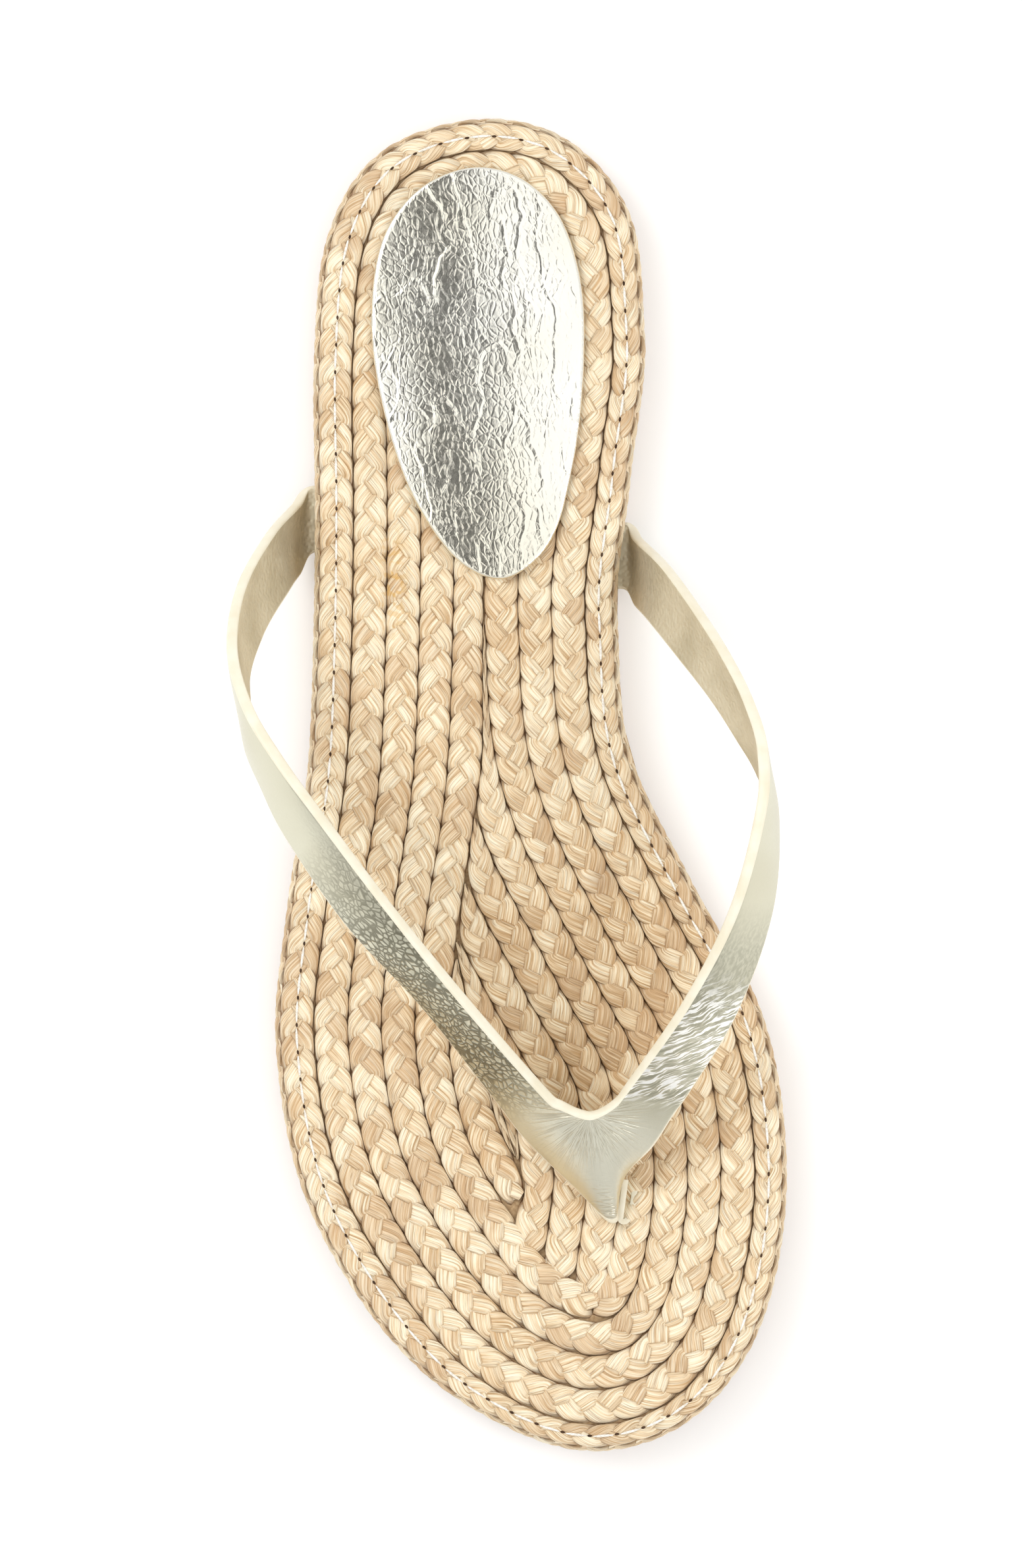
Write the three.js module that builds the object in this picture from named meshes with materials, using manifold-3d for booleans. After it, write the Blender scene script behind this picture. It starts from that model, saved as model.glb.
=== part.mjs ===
// Braided straw thong sandal for the right foot, with a leather strap and a leather heel pad.
// Millimetres, +Z up, +Y towards the toe, +X towards the little toe. The origin lies on the floor
// under the middle of the heel. The pieces are worked out from half way along the sole, and the
// whole sandal is then moved along to its origin.
import * as THREE from 'three';
import Module from 'manifold-3d';

// Driving sizes of the sole
const soleLength = 250;
const ballWidth = 94.4;
const clearance = 0.3;
const outsoleThickness = 2.6;
const midsoleThickness = 8.8;
const sideBraidThickness = 2.1;
const footbedOverhang = 0.9;
const footbedBase = 1.0;
const courseWidth = 6.25;
const courseHeight = 1.9;
const courseGap = 0.75;
const rimExtraLateral = 1.2;
const rimTuckToe = 0.9;
const toeSpring = 5;
const archLift = 1.0;
const edgeRound = 0.7;
const edgeStep = 0.2;
const ledgeLip = 0.5;

// Driving sizes of the strap, its toe post and the pad
const strapThickness = 2.1;
const strapWidth = 12.3;
const strapRise = 32.2;
const strapCrown = 0.5;
const tailDepth = 12;
const postLength = 8.4;
const postDepth = 8.5;
const foldGap = 0.7;
const padLength = 77;
const padWidth = 39.5;
const padThickness = 1.2;
const padEdgeRound = 0.5;
const postCorner = 1.3;

// Places along the sole, as shares of soleLength from the heel
const heelMiddle = 0.18;
const archStart = 0.36;
const archEnd = 0.6;
const springStart = 0.76;
const lateralEnd = 0.81;
const toeCurve = 0.86;

// Courses that run all the way round, before those of the two sides meet at a line
const commonCourses = 4;

// Heights of the layers, from the floor up
const midsoleBottom = outsoleThickness + clearance;
const midsoleTop = midsoleBottom + midsoleThickness;
const tailMiddle = midsoleBottom + strapThickness / 2;
const recessTop = midsoleBottom + strapThickness + clearance;
const ledgeTop = recessTop + ledgeLip;
const sideBraidBottom = ledgeTop + clearance;
const footbedBottom = midsoleTop + clearance;
const courseFoot = footbedBottom + footbedBase;
const courseTop = courseFoot + courseHeight;
const padBottom = courseTop + clearance;

// The sole's edge: along as a share of soleLength from the heel, the two sides as shares of ballWidth
// from the centre line of the heel
const edgeRows = [
  { along: 0, lateral: -0.026, medial: -0.026 },
  { along: 0.02, lateral: 0.175, medial: -0.198 },
  { along: 0.08, lateral: 0.291, medial: -0.313 },
  { along: 0.17, lateral: 0.334, medial: -0.326 },
  { along: 0.28, lateral: 0.352, medial: -0.277 },
  { along: 0.38, lateral: 0.373, medial: -0.234 },
  { along: 0.48, lateral: 0.403, medial: -0.241 },
  { along: 0.58, lateral: 0.461, medial: -0.346 },
  { along: 0.68, lateral: 0.501, medial: -0.466 },
  { along: 0.78, lateral: 0.475, medial: -0.497 },
  { along: 0.86, lateral: 0.391, medial: -0.472 },
  { along: 0.93, lateral: 0.26, medial: -0.401 },
  { along: 0.98, lateral: 0.083, medial: -0.276 },
  { along: 1, lateral: -0.098, medial: -0.098 },
];

// The line where the courses that follow the two sides of the sole meet
const seamRows = [
  { along: 0, across: -0.026 },
  { along: 0.25, across: 0.01 },
  { along: 0.355, across: 0.03 },
  { along: 0.477, across: 0.052 },
  { along: 0.584, across: 0.114 },
  { along: 0.613, across: 0.132 },
  { along: 0.677, across: 0.111 },
  { along: 0.744, across: 0.06 },
  { along: 0.804, across: 0.022 },
  { along: 0.844, across: -0.03 },
  { along: 0.874, across: -0.096 },
  { along: 1, across: -0.098 },
];

// The heel pad's edge, from its rear, towards the little toe's side and round: across as a share of
// padWidth from the pad's own middle, along as a share of padLength from its rear
const padRows = [
  { across: -0.04, along: 0 },
  { across: 0.21, along: 0.04 },
  { across: 0.4, along: 0.15 },
  { across: 0.49, along: 0.36 },
  { across: 0.45, along: 0.6 },
  { across: 0.32, along: 0.82 },
  { across: 0.12, along: 0.965 },
  { across: -0.06, along: 1 },
  { across: -0.27, along: 0.93 },
  { across: -0.41, along: 0.75 },
  { across: -0.5, along: 0.5 },
  { across: -0.51, along: 0.28 },
  { across: -0.42, along: 0.12 },
  { across: -0.25, along: 0.03 },
];
const padAlong = -0.463;
const padAcross = 0.01;

// The strap, from where it leaves the sole on the little toe's side, round the toe post, to the other
// side. Its front edge lies at across (share of ballWidth), along (share of soleLength from the
// middle) and rise (share of strapRise above the footbed, or below 0 a share of the way down to the
// tail). Its rear edge lies towards side, ahead and up, at width times strapWidth.
const strapRows = [
  { across: 0.353, along: -0.185, rise: -1, side: 0, ahead: -1, up: 0, width: 1.01 },
  { across: 0.398, along: -0.168, rise: -0.77, side: -0.07, ahead: -0.99, up: 0.07, width: 1.1 },
  { across: 0.42, along: -0.156, rise: -0.04, side: 0.17, ahead: -0.9, up: 0.39, width: 1 },
  { across: 0.475, along: -0.124, rise: 0.32, side: 0.23, ahead: -0.76, up: 0.62, width: 1 },
  { across: 0.508, along: -0.086, rise: 0.584, side: 0.15, ahead: -0.61, up: 0.78, width: 1 },
  { across: 0.508, along: -0.048, rise: 0.773, side: -0.04, ahead: -0.49, up: 0.87, width: 1 },
  { across: 0.479, along: -0.01, rise: 0.913, side: -0.25, ahead: -0.43, up: 0.87, width: 1 },
  { across: 0.44, along: 0.026, rise: 1, side: -0.45, ahead: -0.37, up: 0.8, width: 1 },
  { across: 0.335, along: 0.093, rise: 0.953, side: -0.66, ahead: -0.19, up: 0.73, width: 1 },
  { across: 0.197, along: 0.158, rise: 0.665, side: -0.64, ahead: -0.01, up: 0.76, width: 1 },
  { across: 0.059, along: 0.236, rise: 0.298, side: -0.72, ahead: -0.1, up: 0.69, width: 1 },
  { across: 0.019, along: 0.26, rise: 0.205, side: -0.61, ahead: -0.35, up: 0.72, width: 1.12 },
  { across: -0.037, along: 0.284, rise: 0.124, side: -0.33, ahead: -0.6, up: 0.73, width: 1.32 },
  { across: -0.095, along: 0.308, rise: 0.084, side: -0.05, ahead: -0.76, up: 0.65, width: 1.64 },
  { across: -0.155, along: 0.329, rise: 0.062, side: 0.16, ahead: -0.82, up: 0.55, width: 2.03 },
  { across: -0.164, along: 0.327, rise: 0.068, side: 0.18, ahead: -0.81, up: 0.55, width: 2 },
  { across: -0.167, along: 0.307, rise: 0.133, side: 0.22, ahead: -0.78, up: 0.59, width: 1.57 },
  { across: -0.183, along: 0.292, rise: 0.198, side: 0.31, ahead: -0.73, up: 0.6, width: 1.28 },
  { across: -0.229, along: 0.274, rise: 0.283, side: 0.58, ahead: -0.6, up: 0.55, width: 1.09 },
  { across: -0.275, along: 0.25, rise: 0.394, side: 0.88, ahead: -0.29, up: 0.38, width: 0.98 },
  { across: -0.305, along: 0.236, rise: 0.438, side: 0.93, ahead: -0.15, up: 0.33, width: 1 },
  { across: -0.411, along: 0.176, rise: 0.692, side: 0.77, ahead: -0.15, up: 0.61, width: 1 },
  { across: -0.49, along: 0.102, rise: 0.86, side: 0.57, ahead: -0.02, up: 0.83, width: 1 },
  { across: -0.51, along: 0.033, rise: 0.872, side: 0.2, ahead: -0.14, up: 0.97, width: 1 },
  { across: -0.489, along: 0.002, rise: 0.816, side: -0.04, ahead: -0.32, up: 0.94, width: 1 },
  { across: -0.454, along: -0.024, rise: 0.724, side: -0.16, ahead: -0.55, up: 0.81, width: 1 },
  { across: -0.41, along: -0.054, rise: 0.562, side: -0.2, ahead: -0.69, up: 0.69, width: 1 },
  { across: -0.355, along: -0.085, rise: 0.329, side: -0.25, ahead: -0.78, up: 0.58, width: 1 },
  { across: -0.303, along: -0.114, rise: 0.034, side: -0.23, ahead: -0.87, up: 0.42, width: 1 },
  { across: -0.278, along: -0.127, rise: -0.77, side: -0.04, ahead: -0.99, up: 0.04, width: 1.07 },
  { across: -0.243, along: -0.142, rise: -1, side: -0.13, ahead: -0.99, up: 0, width: 1.02 },
];

// The toe post's middle, and the strap's height over it, as shares like those of the strap
const postAcross = -0.169;
const postAlong = 0.315;
const postRiseBehind = 0.14;
const postRiseAhead = 0.05;

// Fineness of the curved forms
const stations = 40;
const stepsPerRow = 3;
const gridStep = 1.6;
const courseTolerance = 0.2;

const wasm = await Module();
wasm.setup();

// The arch and the toe spring lift every layer of the sole by the same amount
function lift(y) {
  const along = y / soleLength + 0.5;
  const spring = Math.max(0, along - springStart) / (1 - springStart);
  const inArch = along > archStart && along < archEnd;
  const arch = inArch ? Math.sin(Math.PI * (along - archStart) / (archEnd - archStart)) ** 2 : 0;
  return toeSpring * spring ** 2 + archLift * arch;
}

// A smooth curve through uneven knots, level at each highest and lowest value
function follow(knots, values, at) {
  const last = knots.length - 1;
  let i = 0;
  while (i < last - 1 && at > knots[i + 1]) i += 1;
  const slope = (k) => {
    const before = Math.max(0, k - 1);
    const after = Math.min(last, k + 1);
    const inner = k > 0 && k < last;
    const turns = inner && (values[after] - values[k]) * (values[k] - values[before]) <= 0;
    return turns ? 0 : (values[after] - values[before]) / (knots[after] - knots[before]);
  };
  const span = knots[i + 1] - knots[i];
  const t = THREE.MathUtils.clamp((at - knots[i]) / span, 0, 1);
  const start = (1 + 2 * t) * (1 - t) ** 2 * values[i] + t * (1 - t) ** 2 * span * slope(i);
  const end = t * t * (3 - 2 * t) * values[i + 1] + t * t * (t - 1) * span * slope(i + 1);
  return start + end;
}

// The sole's edge as a ring of points: heel, little toe's side, toe, big toe's side
function soleEdge() {
  const knots = edgeRows.map((row) => Math.acos(1 - 2 * row.along));
  const side = (column, turn) => {
    const across = follow(knots, edgeRows.map((row) => row[column]), turn);
    return new THREE.Vector2(across * ballWidth, -Math.cos(turn) * soleLength / 2);
  };
  const ring = [];
  for (let j = 0; j <= stations; j += 1) ring.push(side('lateral', Math.PI * j / stations));
  for (let j = stations - 1; j > 0; j -= 1) ring.push(side('medial', Math.PI * j / stations));
  return ring;
}

function inset(ring, distance) {
  return ring.map((point, i) => {
    const before = ring[(i + ring.length - 1) % ring.length];
    const after = ring[(i + 1) % ring.length];
    const along = after.clone().sub(before).normalize();
    return new THREE.Vector2(point.x - distance * along.y, point.y + distance * along.x);
  });
}

const edge = soleEdge();

function geometryOf(points, faces) {
  const geometry = new THREE.BufferGeometry();
  geometry.setAttribute('position', new THREE.Float32BufferAttribute(points.flat(), 3));
  geometry.setIndex(faces.flat());
  return geometry;
}

// Two triangles for each four corners, counted over rows of equal length
function skin(rowCount, rowLength, closed) {
  const faces = [];
  for (let r = 0; r < rowCount - 1; r += 1) {
    for (let i = 0; i < (closed ? rowLength : rowLength - 1); i += 1) {
      const a = r * rowLength + i;
      const b = r * rowLength + (i + 1) % rowLength;
      faces.push([a, b, b + rowLength], [a, b + rowLength, a + rowLength]);
    }
  }
  return faces;
}

// A layer of the sole: rings of the sole's edge at rising levels, closed by strips across the sole
function layer(levels) {
  const count = edge.length;
  const points = levels.flatMap(({ inward, z }) => inset(edge, inward)
    .map(({ x, y }) => [x, y, z + lift(y)]));
  const faces = skin(levels.length, count, true);
  const top = (levels.length - 1) * count;
  for (let j = 0; j < stations; j += 1) {
    const across = count - j;
    const nextAcross = across - 1;
    if (j > 0) faces.push([top + j, top + nextAcross, top + across], [j, across, nextAcross]);
    if (j < stations - 1) faces.push([top + j, top + j + 1, top + nextAcross], [j, nextAcross, j + 1]);
  }
  return geometryOf(points, faces);
}

function solid(geometry) {
  const position = geometry.getAttribute('position');
  return new wasm.Manifold(new wasm.Mesh({
    numProp: 3,
    vertProperties: new Float32Array(position.array),
    triVerts: new Uint32Array(geometry.index.array),
  }));
}

function geometryFrom(body) {
  const mesh = body.getMesh();
  const geometry = new THREE.BufferGeometry();
  geometry.setAttribute('position', new THREE.BufferAttribute(mesh.vertProperties, 3));
  geometry.setIndex(new THREE.BufferAttribute(mesh.triVerts, 1));
  return geometry;
}

function facingOut(points, faces) {
  const body = solid(geometryOf(points, faces));
  return body.volume() > 0 ? body : solid(geometryOf(points, faces.map(([a, b, c]) => [a, c, b])));
}

// An upright prism over a closed outline that runs anticlockwise
function prism(outline, bottom, top) {
  const count = outline.length;
  const points = [() => bottom, top].flatMap((z) => outline.map(([x, y]) => [x, y, z(x, y)]));
  const faces = skin(2, count, true);
  const caps = THREE.ShapeUtils.triangulateShape(outline.map(([x, y]) => new THREE.Vector2(x, y)), []);
  caps.forEach(([a, b, c]) => faces.push([a + count, b + count, c + count], [a, c, b]));
  return geometryOf(points, faces);
}

// Distance from a point to one side of the sole's edge
function distanceTo(side, x, y) {
  let best = Infinity;
  let nearest = side[0];
  for (let i = 0; i < side.length - 1; i += 1) {
    const a = side[i];
    const b = side[i + 1];
    const length = (b.x - a.x) ** 2 + (b.y - a.y) ** 2;
    const t = THREE.MathUtils.clamp(((x - a.x) * (b.x - a.x) + (y - a.y) * (b.y - a.y)) / length, 0, 1);
    const px = a.x + t * (b.x - a.x);
    const py = a.y + t * (b.y - a.y);
    const distance = Math.hypot(x - px, y - py);
    if (distance < best) {
      best = distance;
      nearest = { x: px, y: py };
    }
  }
  return { best, nearest };
}

function inside(x, y) {
  let odd = false;
  edge.forEach((a, i) => {
    const b = edge[(i + 1) % edge.length];
    if ((a.y > y) !== (b.y > y) && x < a.x + (y - a.y) / (b.y - a.y) * (b.x - a.x)) odd = !odd;
  });
  return odd;
}

// The rim course is a little wider on the little toe's side and narrower round the toe
function rimExtra({ x, y }) {
  const lateral = THREE.MathUtils.smoothstep(x / ballWidth, 0, 0.3);
  const toe = THREE.MathUtils.smoothstep(y / soleLength, 0.38, 0.49);
  return rimExtraLateral * lateral * (1 - toe) - rimTuckToe * toe;
}

// The depth of a point, counted in braided courses from the edge
function depth(side, x, y) {
  const { best, nearest } = distanceTo(side, x, y);
  const signed = inside(x, y) ? best : -best;
  return (signed - rimExtra(nearest)) / courseWidth;
}

// The two sides, each with the round of the heel and of the toe, and the big toe's side run straight on
const capStations = stations / 5;
const wholeEdge = [...edge, edge[0]];
const lateralSide = edge.slice(0, stations + capStations);
const medialSide = [...edge.slice(stations - capStations), ...edge.slice(0, capStations)];
const straightSide = wholeEdge.slice(stations).filter(({ y }) => y < (toeCurve - 0.5) * soleLength);
const onward = straightSide[0].clone().sub(straightSide[1]).normalize();
straightSide.unshift(straightSide[0].clone().addScaledVector(onward, soleLength / 4));

function seamAt(y) {
  const along = y / soleLength + 0.5;
  let i = 0;
  while (i < seamRows.length - 2 && along > seamRows[i + 1].along) i += 1;
  const share = THREE.MathUtils.inverseLerp(seamRows[i].along, seamRows[i + 1].along, along);
  const across = THREE.MathUtils.lerp(seamRows[i].across, seamRows[i + 1].across, Math.min(1, share));
  return across * ballWidth;
}

// Lines of equal depth, linked from the crossings on a square grid
function contours(field, level) {
  const x0 = -ballWidth * 0.56;
  const y0 = -soleLength * 0.51;
  const columns = Math.ceil(-2 * x0 / gridStep);
  const rows = Math.ceil(-2 * y0 / gridStep);
  const grid = Array.from({ length: rows + 1 }, (_, j) => Array.from({ length: columns + 1 },
    (__, i) => field(x0 + i * gridStep, y0 + j * gridStep) - level));
  const links = new Map();
  const crossing = (i, j, k, l) => {
    const t = grid[j][i] / (grid[j][i] - grid[l][k]);
    const key = `${i},${j},${k},${l}`;
    const at = [x0 + (i + t * (k - i)) * gridStep, y0 + (j + t * (l - j)) * gridStep];
    if (!links.has(key)) links.set(key, { at, next: [] });
    return key;
  };
  for (let j = 0; j < rows; j += 1) {
    for (let i = 0; i < columns; i += 1) {
      const sides = [[i, j, i + 1, j], [i + 1, j, i + 1, j + 1], [i, j + 1, i + 1, j + 1], [i, j, i, j + 1]];
      const crossed = sides.filter(([a, b, c, d]) => (grid[b][a] > 0) !== (grid[d][c] > 0));
      const keys = crossed.map((ends) => crossing(...ends));
      for (let k = 0; k + 1 < keys.length; k += 2) {
        links.get(keys[k]).next.push(keys[k + 1]);
        links.get(keys[k + 1]).next.push(keys[k]);
      }
    }
  }
  const seen = new Set();
  const walk = (start) => {
    const path = [];
    let key = start;
    while (key && !seen.has(key)) {
      seen.add(key);
      path.push(links.get(key).at);
      key = links.get(key).next.find((other) => !seen.has(other));
    }
    return path;
  };
  const ends = [...links.keys()].filter((key) => links.get(key).next.length === 1);
  const follows = (keys, closed) => keys.filter((key) => !seen.has(key)).map((key) => ({ path: walk(key), closed }));
  const lines = [...follows(ends, false), ...follows([...links.keys()], true)];
  return lines.filter(({ path }) => path.length * gridStep > 2 * courseWidth);
}

// Keep only the points that a line needs to stay within the tolerance
function thin(path, tolerance) {
  const [first, last] = [path[0], path[path.length - 1]];
  const at = ([x, y]) => new THREE.Vector3(x, y, lift(y));
  const chord = new THREE.Line3(at(first), at(last));
  let far = 0;
  let worst = 0;
  path.forEach((point, i) => {
    const foot = chord.closestPointToPoint(at(point), true, new THREE.Vector3());
    const away = foot.distanceTo(at(point));
    if (away > worst) {
      worst = away;
      far = i;
    }
  });
  if (worst < tolerance) return [first, last];
  return [...thin(path.slice(0, far + 1), tolerance).slice(0, -1), ...thin(path.slice(far), tolerance)];
}

function smooth(path, closed) {
  let line = path;
  for (let pass = 0; pass < 3; pass += 1) {
    line = line.map((point, i) => {
      if (!closed && (i === 0 || i === line.length - 1)) return point;
      const before = line[(i + line.length - 1) % line.length];
      const after = line[(i + 1) % line.length];
      return [0, 1].map((k) => (before[k] + 2 * point[k] + after[k]) / 4);
    });
  }
  return line;
}

// One raised course: a low rounded bar that follows its line and stands in the base
const courseSection = [
  { side: 1, height: -0.2 },
  { side: 1, height: 0 },
  { side: 0.62, height: 0.78 },
  { side: 0, height: 1 },
  { side: -0.62, height: 0.78 },
  { side: -1, height: 0 },
  { side: -1, height: -0.2 },
];
const courseHalfWidth = (courseWidth - courseGap) / 2;

function courseBar(path, closed) {
  const count = path.length;
  const points = path.flatMap((point, i) => {
    const before = path[closed ? (i + count - 1) % count : Math.max(0, i - 1)];
    const after = path[closed ? (i + 1) % count : Math.min(count - 1, i + 1)];
    const into = new THREE.Vector2(point[0] - before[0], point[1] - before[1]).normalize();
    const out = new THREE.Vector2(after[0] - point[0], after[1] - point[1]).normalize();
    const across = new THREE.Vector2(into.y + out.y, -into.x - out.x).normalize();
    const mitre = 1 / Math.max(0.8, Math.max(Math.abs(across.dot(new THREE.Vector2(out.y, -out.x))),
      Math.abs(across.dot(new THREE.Vector2(into.y, -into.x)))));
    return courseSection.map(({ side, height }) => {
      const reach = side * courseHalfWidth * mitre;
      const y = point[1] + across.y * reach;
      return [point[0] + across.x * reach, y, courseFoot + height * courseHeight + lift(y)];
    });
  });
  const size = courseSection.length;
  const faces = skin(closed ? count + 1 : count, size, true).map((face) => face.map((i) => i % (count * size)));
  if (!closed) {
    for (let k = 1; k < size - 1; k += 1) {
      faces.push([0, k + 1, k], [(count - 1) * size, (count - 1) * size + k, (count - 1) * size + k + 1]);
    }
  }
  return facingOut(points, faces);
}

// The rim course follows the sole's edge itself
function rimCourse() {
  const points = edge.flatMap((point, i) => {
    const near = footbedOverhang + edgeStep;
    const far = rimExtra(point) + courseWidth - courseGap / 2;
    const inward = inset(edge, 1)[i].clone().sub(point);
    return courseSection.map(({ side, height }) => {
      const at = point.clone().addScaledVector(inward, THREE.MathUtils.lerp(near, far, (1 - side) / 2));
      return [at.x, at.y, courseFoot + height * courseHeight + lift(at.y)];
    });
  });
  const size = courseSection.length;
  const faces = skin(edge.length + 1, size, true).map((face) => face.map((i) => i % (edge.length * size)));
  return facingOut(points, faces);
}

// The runs of a line that lie on its own side of the seam
function ownRuns(path, keep) {
  const runs = [];
  let run = [];
  path.forEach((point) => {
    if (keep(point)) run.push(point);
    else if (run.length) {
      runs.push(run);
      run = [];
    }
  });
  if (run.length) runs.push(run);
  const length = (points) => points.slice(1)
    .reduce((sum, [x, y], i) => sum + Math.hypot(x - points[i][0], y - points[i][1]), 0);
  return runs.filter((points) => length(points) > 2 * courseWidth);
}

// Whether a point of the course at a depth stays with its side. Round the toe the outermost of the
// two sides' own courses is one line with a splice, and the big toe's side runs straight up to it.
function staysWith(side, k, [x, y]) {
  const along = y / soleLength + 0.5;
  const outermost = k === commonCourses;
  const margin = outermost && along > toeCurve ? -courseGap : courseHalfWidth / 2;
  const onSide = side * (x - seamAt(y)) > margin;
  if (side > 0) return onSide && (outermost || along < lateralEnd) && depth(medialSide, x, y) > commonCourses;
  if (outermost) return onSide && depth(lateralSide, x, y) > commonCourses;
  return (onSide || along > lateralEnd) && depth(lateralSide, x, y) > commonCourses + 0.9;
}

function courseLines() {
  const lines = [];
  for (let k = 1; k < commonCourses; k += 1) {
    const loops = contours((x, y) => depth(wholeEdge, x, y), k + 0.5).filter(({ closed }) => closed);
    loops.forEach(({ path }) => lines.push({ path: smooth(path, true), closed: true }));
  }
  const deepest = Math.ceil(ballWidth / courseWidth);
  for (let k = commonCourses; k < deepest; k += 1) {
    const inner = k > commonCourses ? straightSide : medialSide;
    [{ edge: lateralSide, side: 1 }, { edge: inner, side: -1 }].forEach((family) => {
      const keep = (point) => staysWith(family.side, k, point);
      contours((x, y) => depth(family.edge, x, y), k + 0.5).forEach(({ path }) => {
        const start = path.findIndex((point) => !keep(point));
        const turned = start > 0 ? [...path.slice(start), ...path.slice(0, start)] : path;
        ownRuns(turned, keep).forEach((run) => lines.push({ path: smooth(run, false), closed: false }));
      });
    });
  }
  return lines;
}

function thinLine({ path, closed }) {
  if (!closed) return { path: thin(path, courseTolerance), closed };
  const half = Math.floor(path.length / 2);
  const first = thin(path.slice(0, half + 1), courseTolerance);
  const second = thin([...path.slice(half), path[0]], courseTolerance);
  return { path: [...first.slice(0, -1), ...second.slice(0, -1)], closed };
}

// The strap as sections with a front and a rear edge
const rows = strapRows.map((row) => {
  const rise = row.rise < 0 ? row.rise * (courseTop - tailMiddle) : row.rise * strapRise;
  const front = new THREE.Vector3(row.across * ballWidth, row.along * soleLength, courseTop + rise);
  const towards = new THREE.Vector3(row.side, row.ahead, row.up).normalize();
  return { front, rear: front.clone().addScaledVector(towards, row.width * strapWidth) };
});
const tail = ({ front, rear }) => {
  const inward = new THREE.Vector3(-Math.sign(front.x) * tailDepth, 0, 0);
  return { front: front.clone().add(inward), rear: rear.clone().add(inward) };
};
const sections = [tail(rows[0]), ...rows, tail(rows[rows.length - 1])];

function strapSurface() {
  const knots = [0];
  sections.slice(1).forEach(({ front, rear }, i) => {
    const step = front.distanceTo(sections[i].front) + rear.distanceTo(sections[i].rear);
    knots.push(knots[i] + Math.sqrt(step / 2));
  });
  const stops = knots.slice(1).flatMap((knot, i) => Array.from({ length: stepsPerRow },
    (_, k) => THREE.MathUtils.lerp(knots[i], knot, k / stepsPerRow)));
  stops.push(knots[knots.length - 1]);
  const edgeAt = (name, at) => new THREE.Vector3(...['x', 'y', 'z']
    .map((axis) => follow(knots, sections.map((section) => section[name][axis]), at)));
  return stops.map((at) => ({ front: edgeAt('front', at), rear: edgeAt('rear', at) }));
}

// One section of the strap's wall: shares of its width and of its half thickness, with rounded edges
const wallSection = [
  { share: 0.05, side: 1 },
  { share: 0.32, side: 1 },
  { share: 0.68, side: 1 },
  { share: 0.95, side: 1 },
  { share: 1, side: 0.35 },
  { share: 1, side: -0.35 },
  { share: 0.95, side: -1 },
  { share: 0.68, side: -1 },
  { share: 0.32, side: -1 },
  { share: 0.05, side: -1 },
  { share: 0, side: -0.35 },
  { share: 0, side: 0.35 },
];

function makeStrap() {
  const lines = strapSurface();
  const last = lines.length - 1;
  const at = (i, share) => lines[i].front.clone().lerp(lines[i].rear, share);
  const normals = lines.map((line, i) => [0, 0.5, 1].map((share) => {
    const forward = at(Math.min(last, i + 1), share).sub(at(Math.max(0, i - 1), share));
    const up = line.rear.clone().sub(line.front);
    return forward.cross(up).normalize();
  }));
  const softened = normals.map((own, i) => own.map((normal, k) => {
    const before = normals[Math.max(0, i - 1)][k];
    const after = normals[Math.min(last, i + 1)][k];
    return normal.clone().multiplyScalar(2).add(before).add(after).normalize();
  }));
  const points = lines.flatMap((line, i) => wallSection.map(({ share, side }) => {
    const [low, middle, high] = softened[i];
    const normal = share < 0.5 ? low.clone().lerp(middle, share * 2) : middle.clone().lerp(high, share * 2 - 1);
    const crown = strapCrown * 4 * share * (1 - share) * Math.min(1, i / 6, (last - i) / 6);
    return at(i, share).addScaledVector(normal.normalize(), side * strapThickness / 2 + crown).toArray();
  }));
  const size = wallSection.length;
  const faces = skin(lines.length, size, true);
  for (let k = 1; k < size - 1; k += 1) {
    faces.push([0, k + 1, k], [last * size, last * size + k, last * size + k + 1]);
  }
  return facingOut(points, faces).add(makePost());
}

// The toe post: the strap's end folded double, its fold towards the toe
const post = {
  left: postAcross * ballWidth - strapThickness - foldGap / 2,
  right: postAcross * ballWidth + strapThickness + foldGap / 2,
  back: postAlong * soleLength - postLength / 2,
  front: postAlong * soleLength + postLength / 2,
  bottom: courseTop - postDepth,
};

function makePost() {
  const slitLeft = post.left + strapThickness;
  const slitRight = post.right - strapThickness;
  const slitFront = post.front - strapThickness;
  const outline = [
    [post.left, post.back],
    [slitLeft, post.back],
    [slitLeft, slitFront],
    [slitRight, slitFront],
    [slitRight, post.back],
    [post.right, post.back],
    [post.right, post.front - postCorner],
    [post.right - postCorner, post.front],
    [post.left + postCorner, post.front],
    [post.left, post.front - postCorner],
  ];
  const top = (x, y) => {
    const share = (y - post.back) / postLength;
    return courseTop + strapRise * THREE.MathUtils.lerp(postRiseBehind, postRiseAhead, share);
  };
  return solid(prism(outline, post.bottom, top));
}

// A hole for the toe post, down to a level
function postHole(bottom) {
  const outline = [
    [post.left - clearance, post.back - clearance],
    [post.right + clearance, post.back - clearance],
    [post.right + clearance, post.front + clearance],
    [post.left - clearance, post.front + clearance],
  ];
  return solid(prism(outline, bottom, () => courseTop + toeSpring));
}

// The recess under the midsole that holds one tail of the strap
function tailRecess(exit) {
  const end = tail(exit);
  const outward = Math.sign(exit.front.x);
  const beyond = new THREE.Vector3(outward * 2 * strapThickness, 0, 0);
  const side = exit.front.clone().sub(exit.rear).normalize().multiplyScalar(clearance);
  const deep = new THREE.Vector3(-outward * clearance, 0, 0);
  const outline = [
    end.rear.clone().add(deep).sub(side),
    exit.rear.clone().add(beyond).sub(side),
    exit.front.clone().add(beyond).add(side),
    end.front.clone().add(deep).add(side),
  ].map(({ x, y }) => [x, y]);
  if (outward < 0) outline.reverse();
  return solid(prism(outline, midsoleBottom - clearance / 2, () => recessTop));
}

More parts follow.
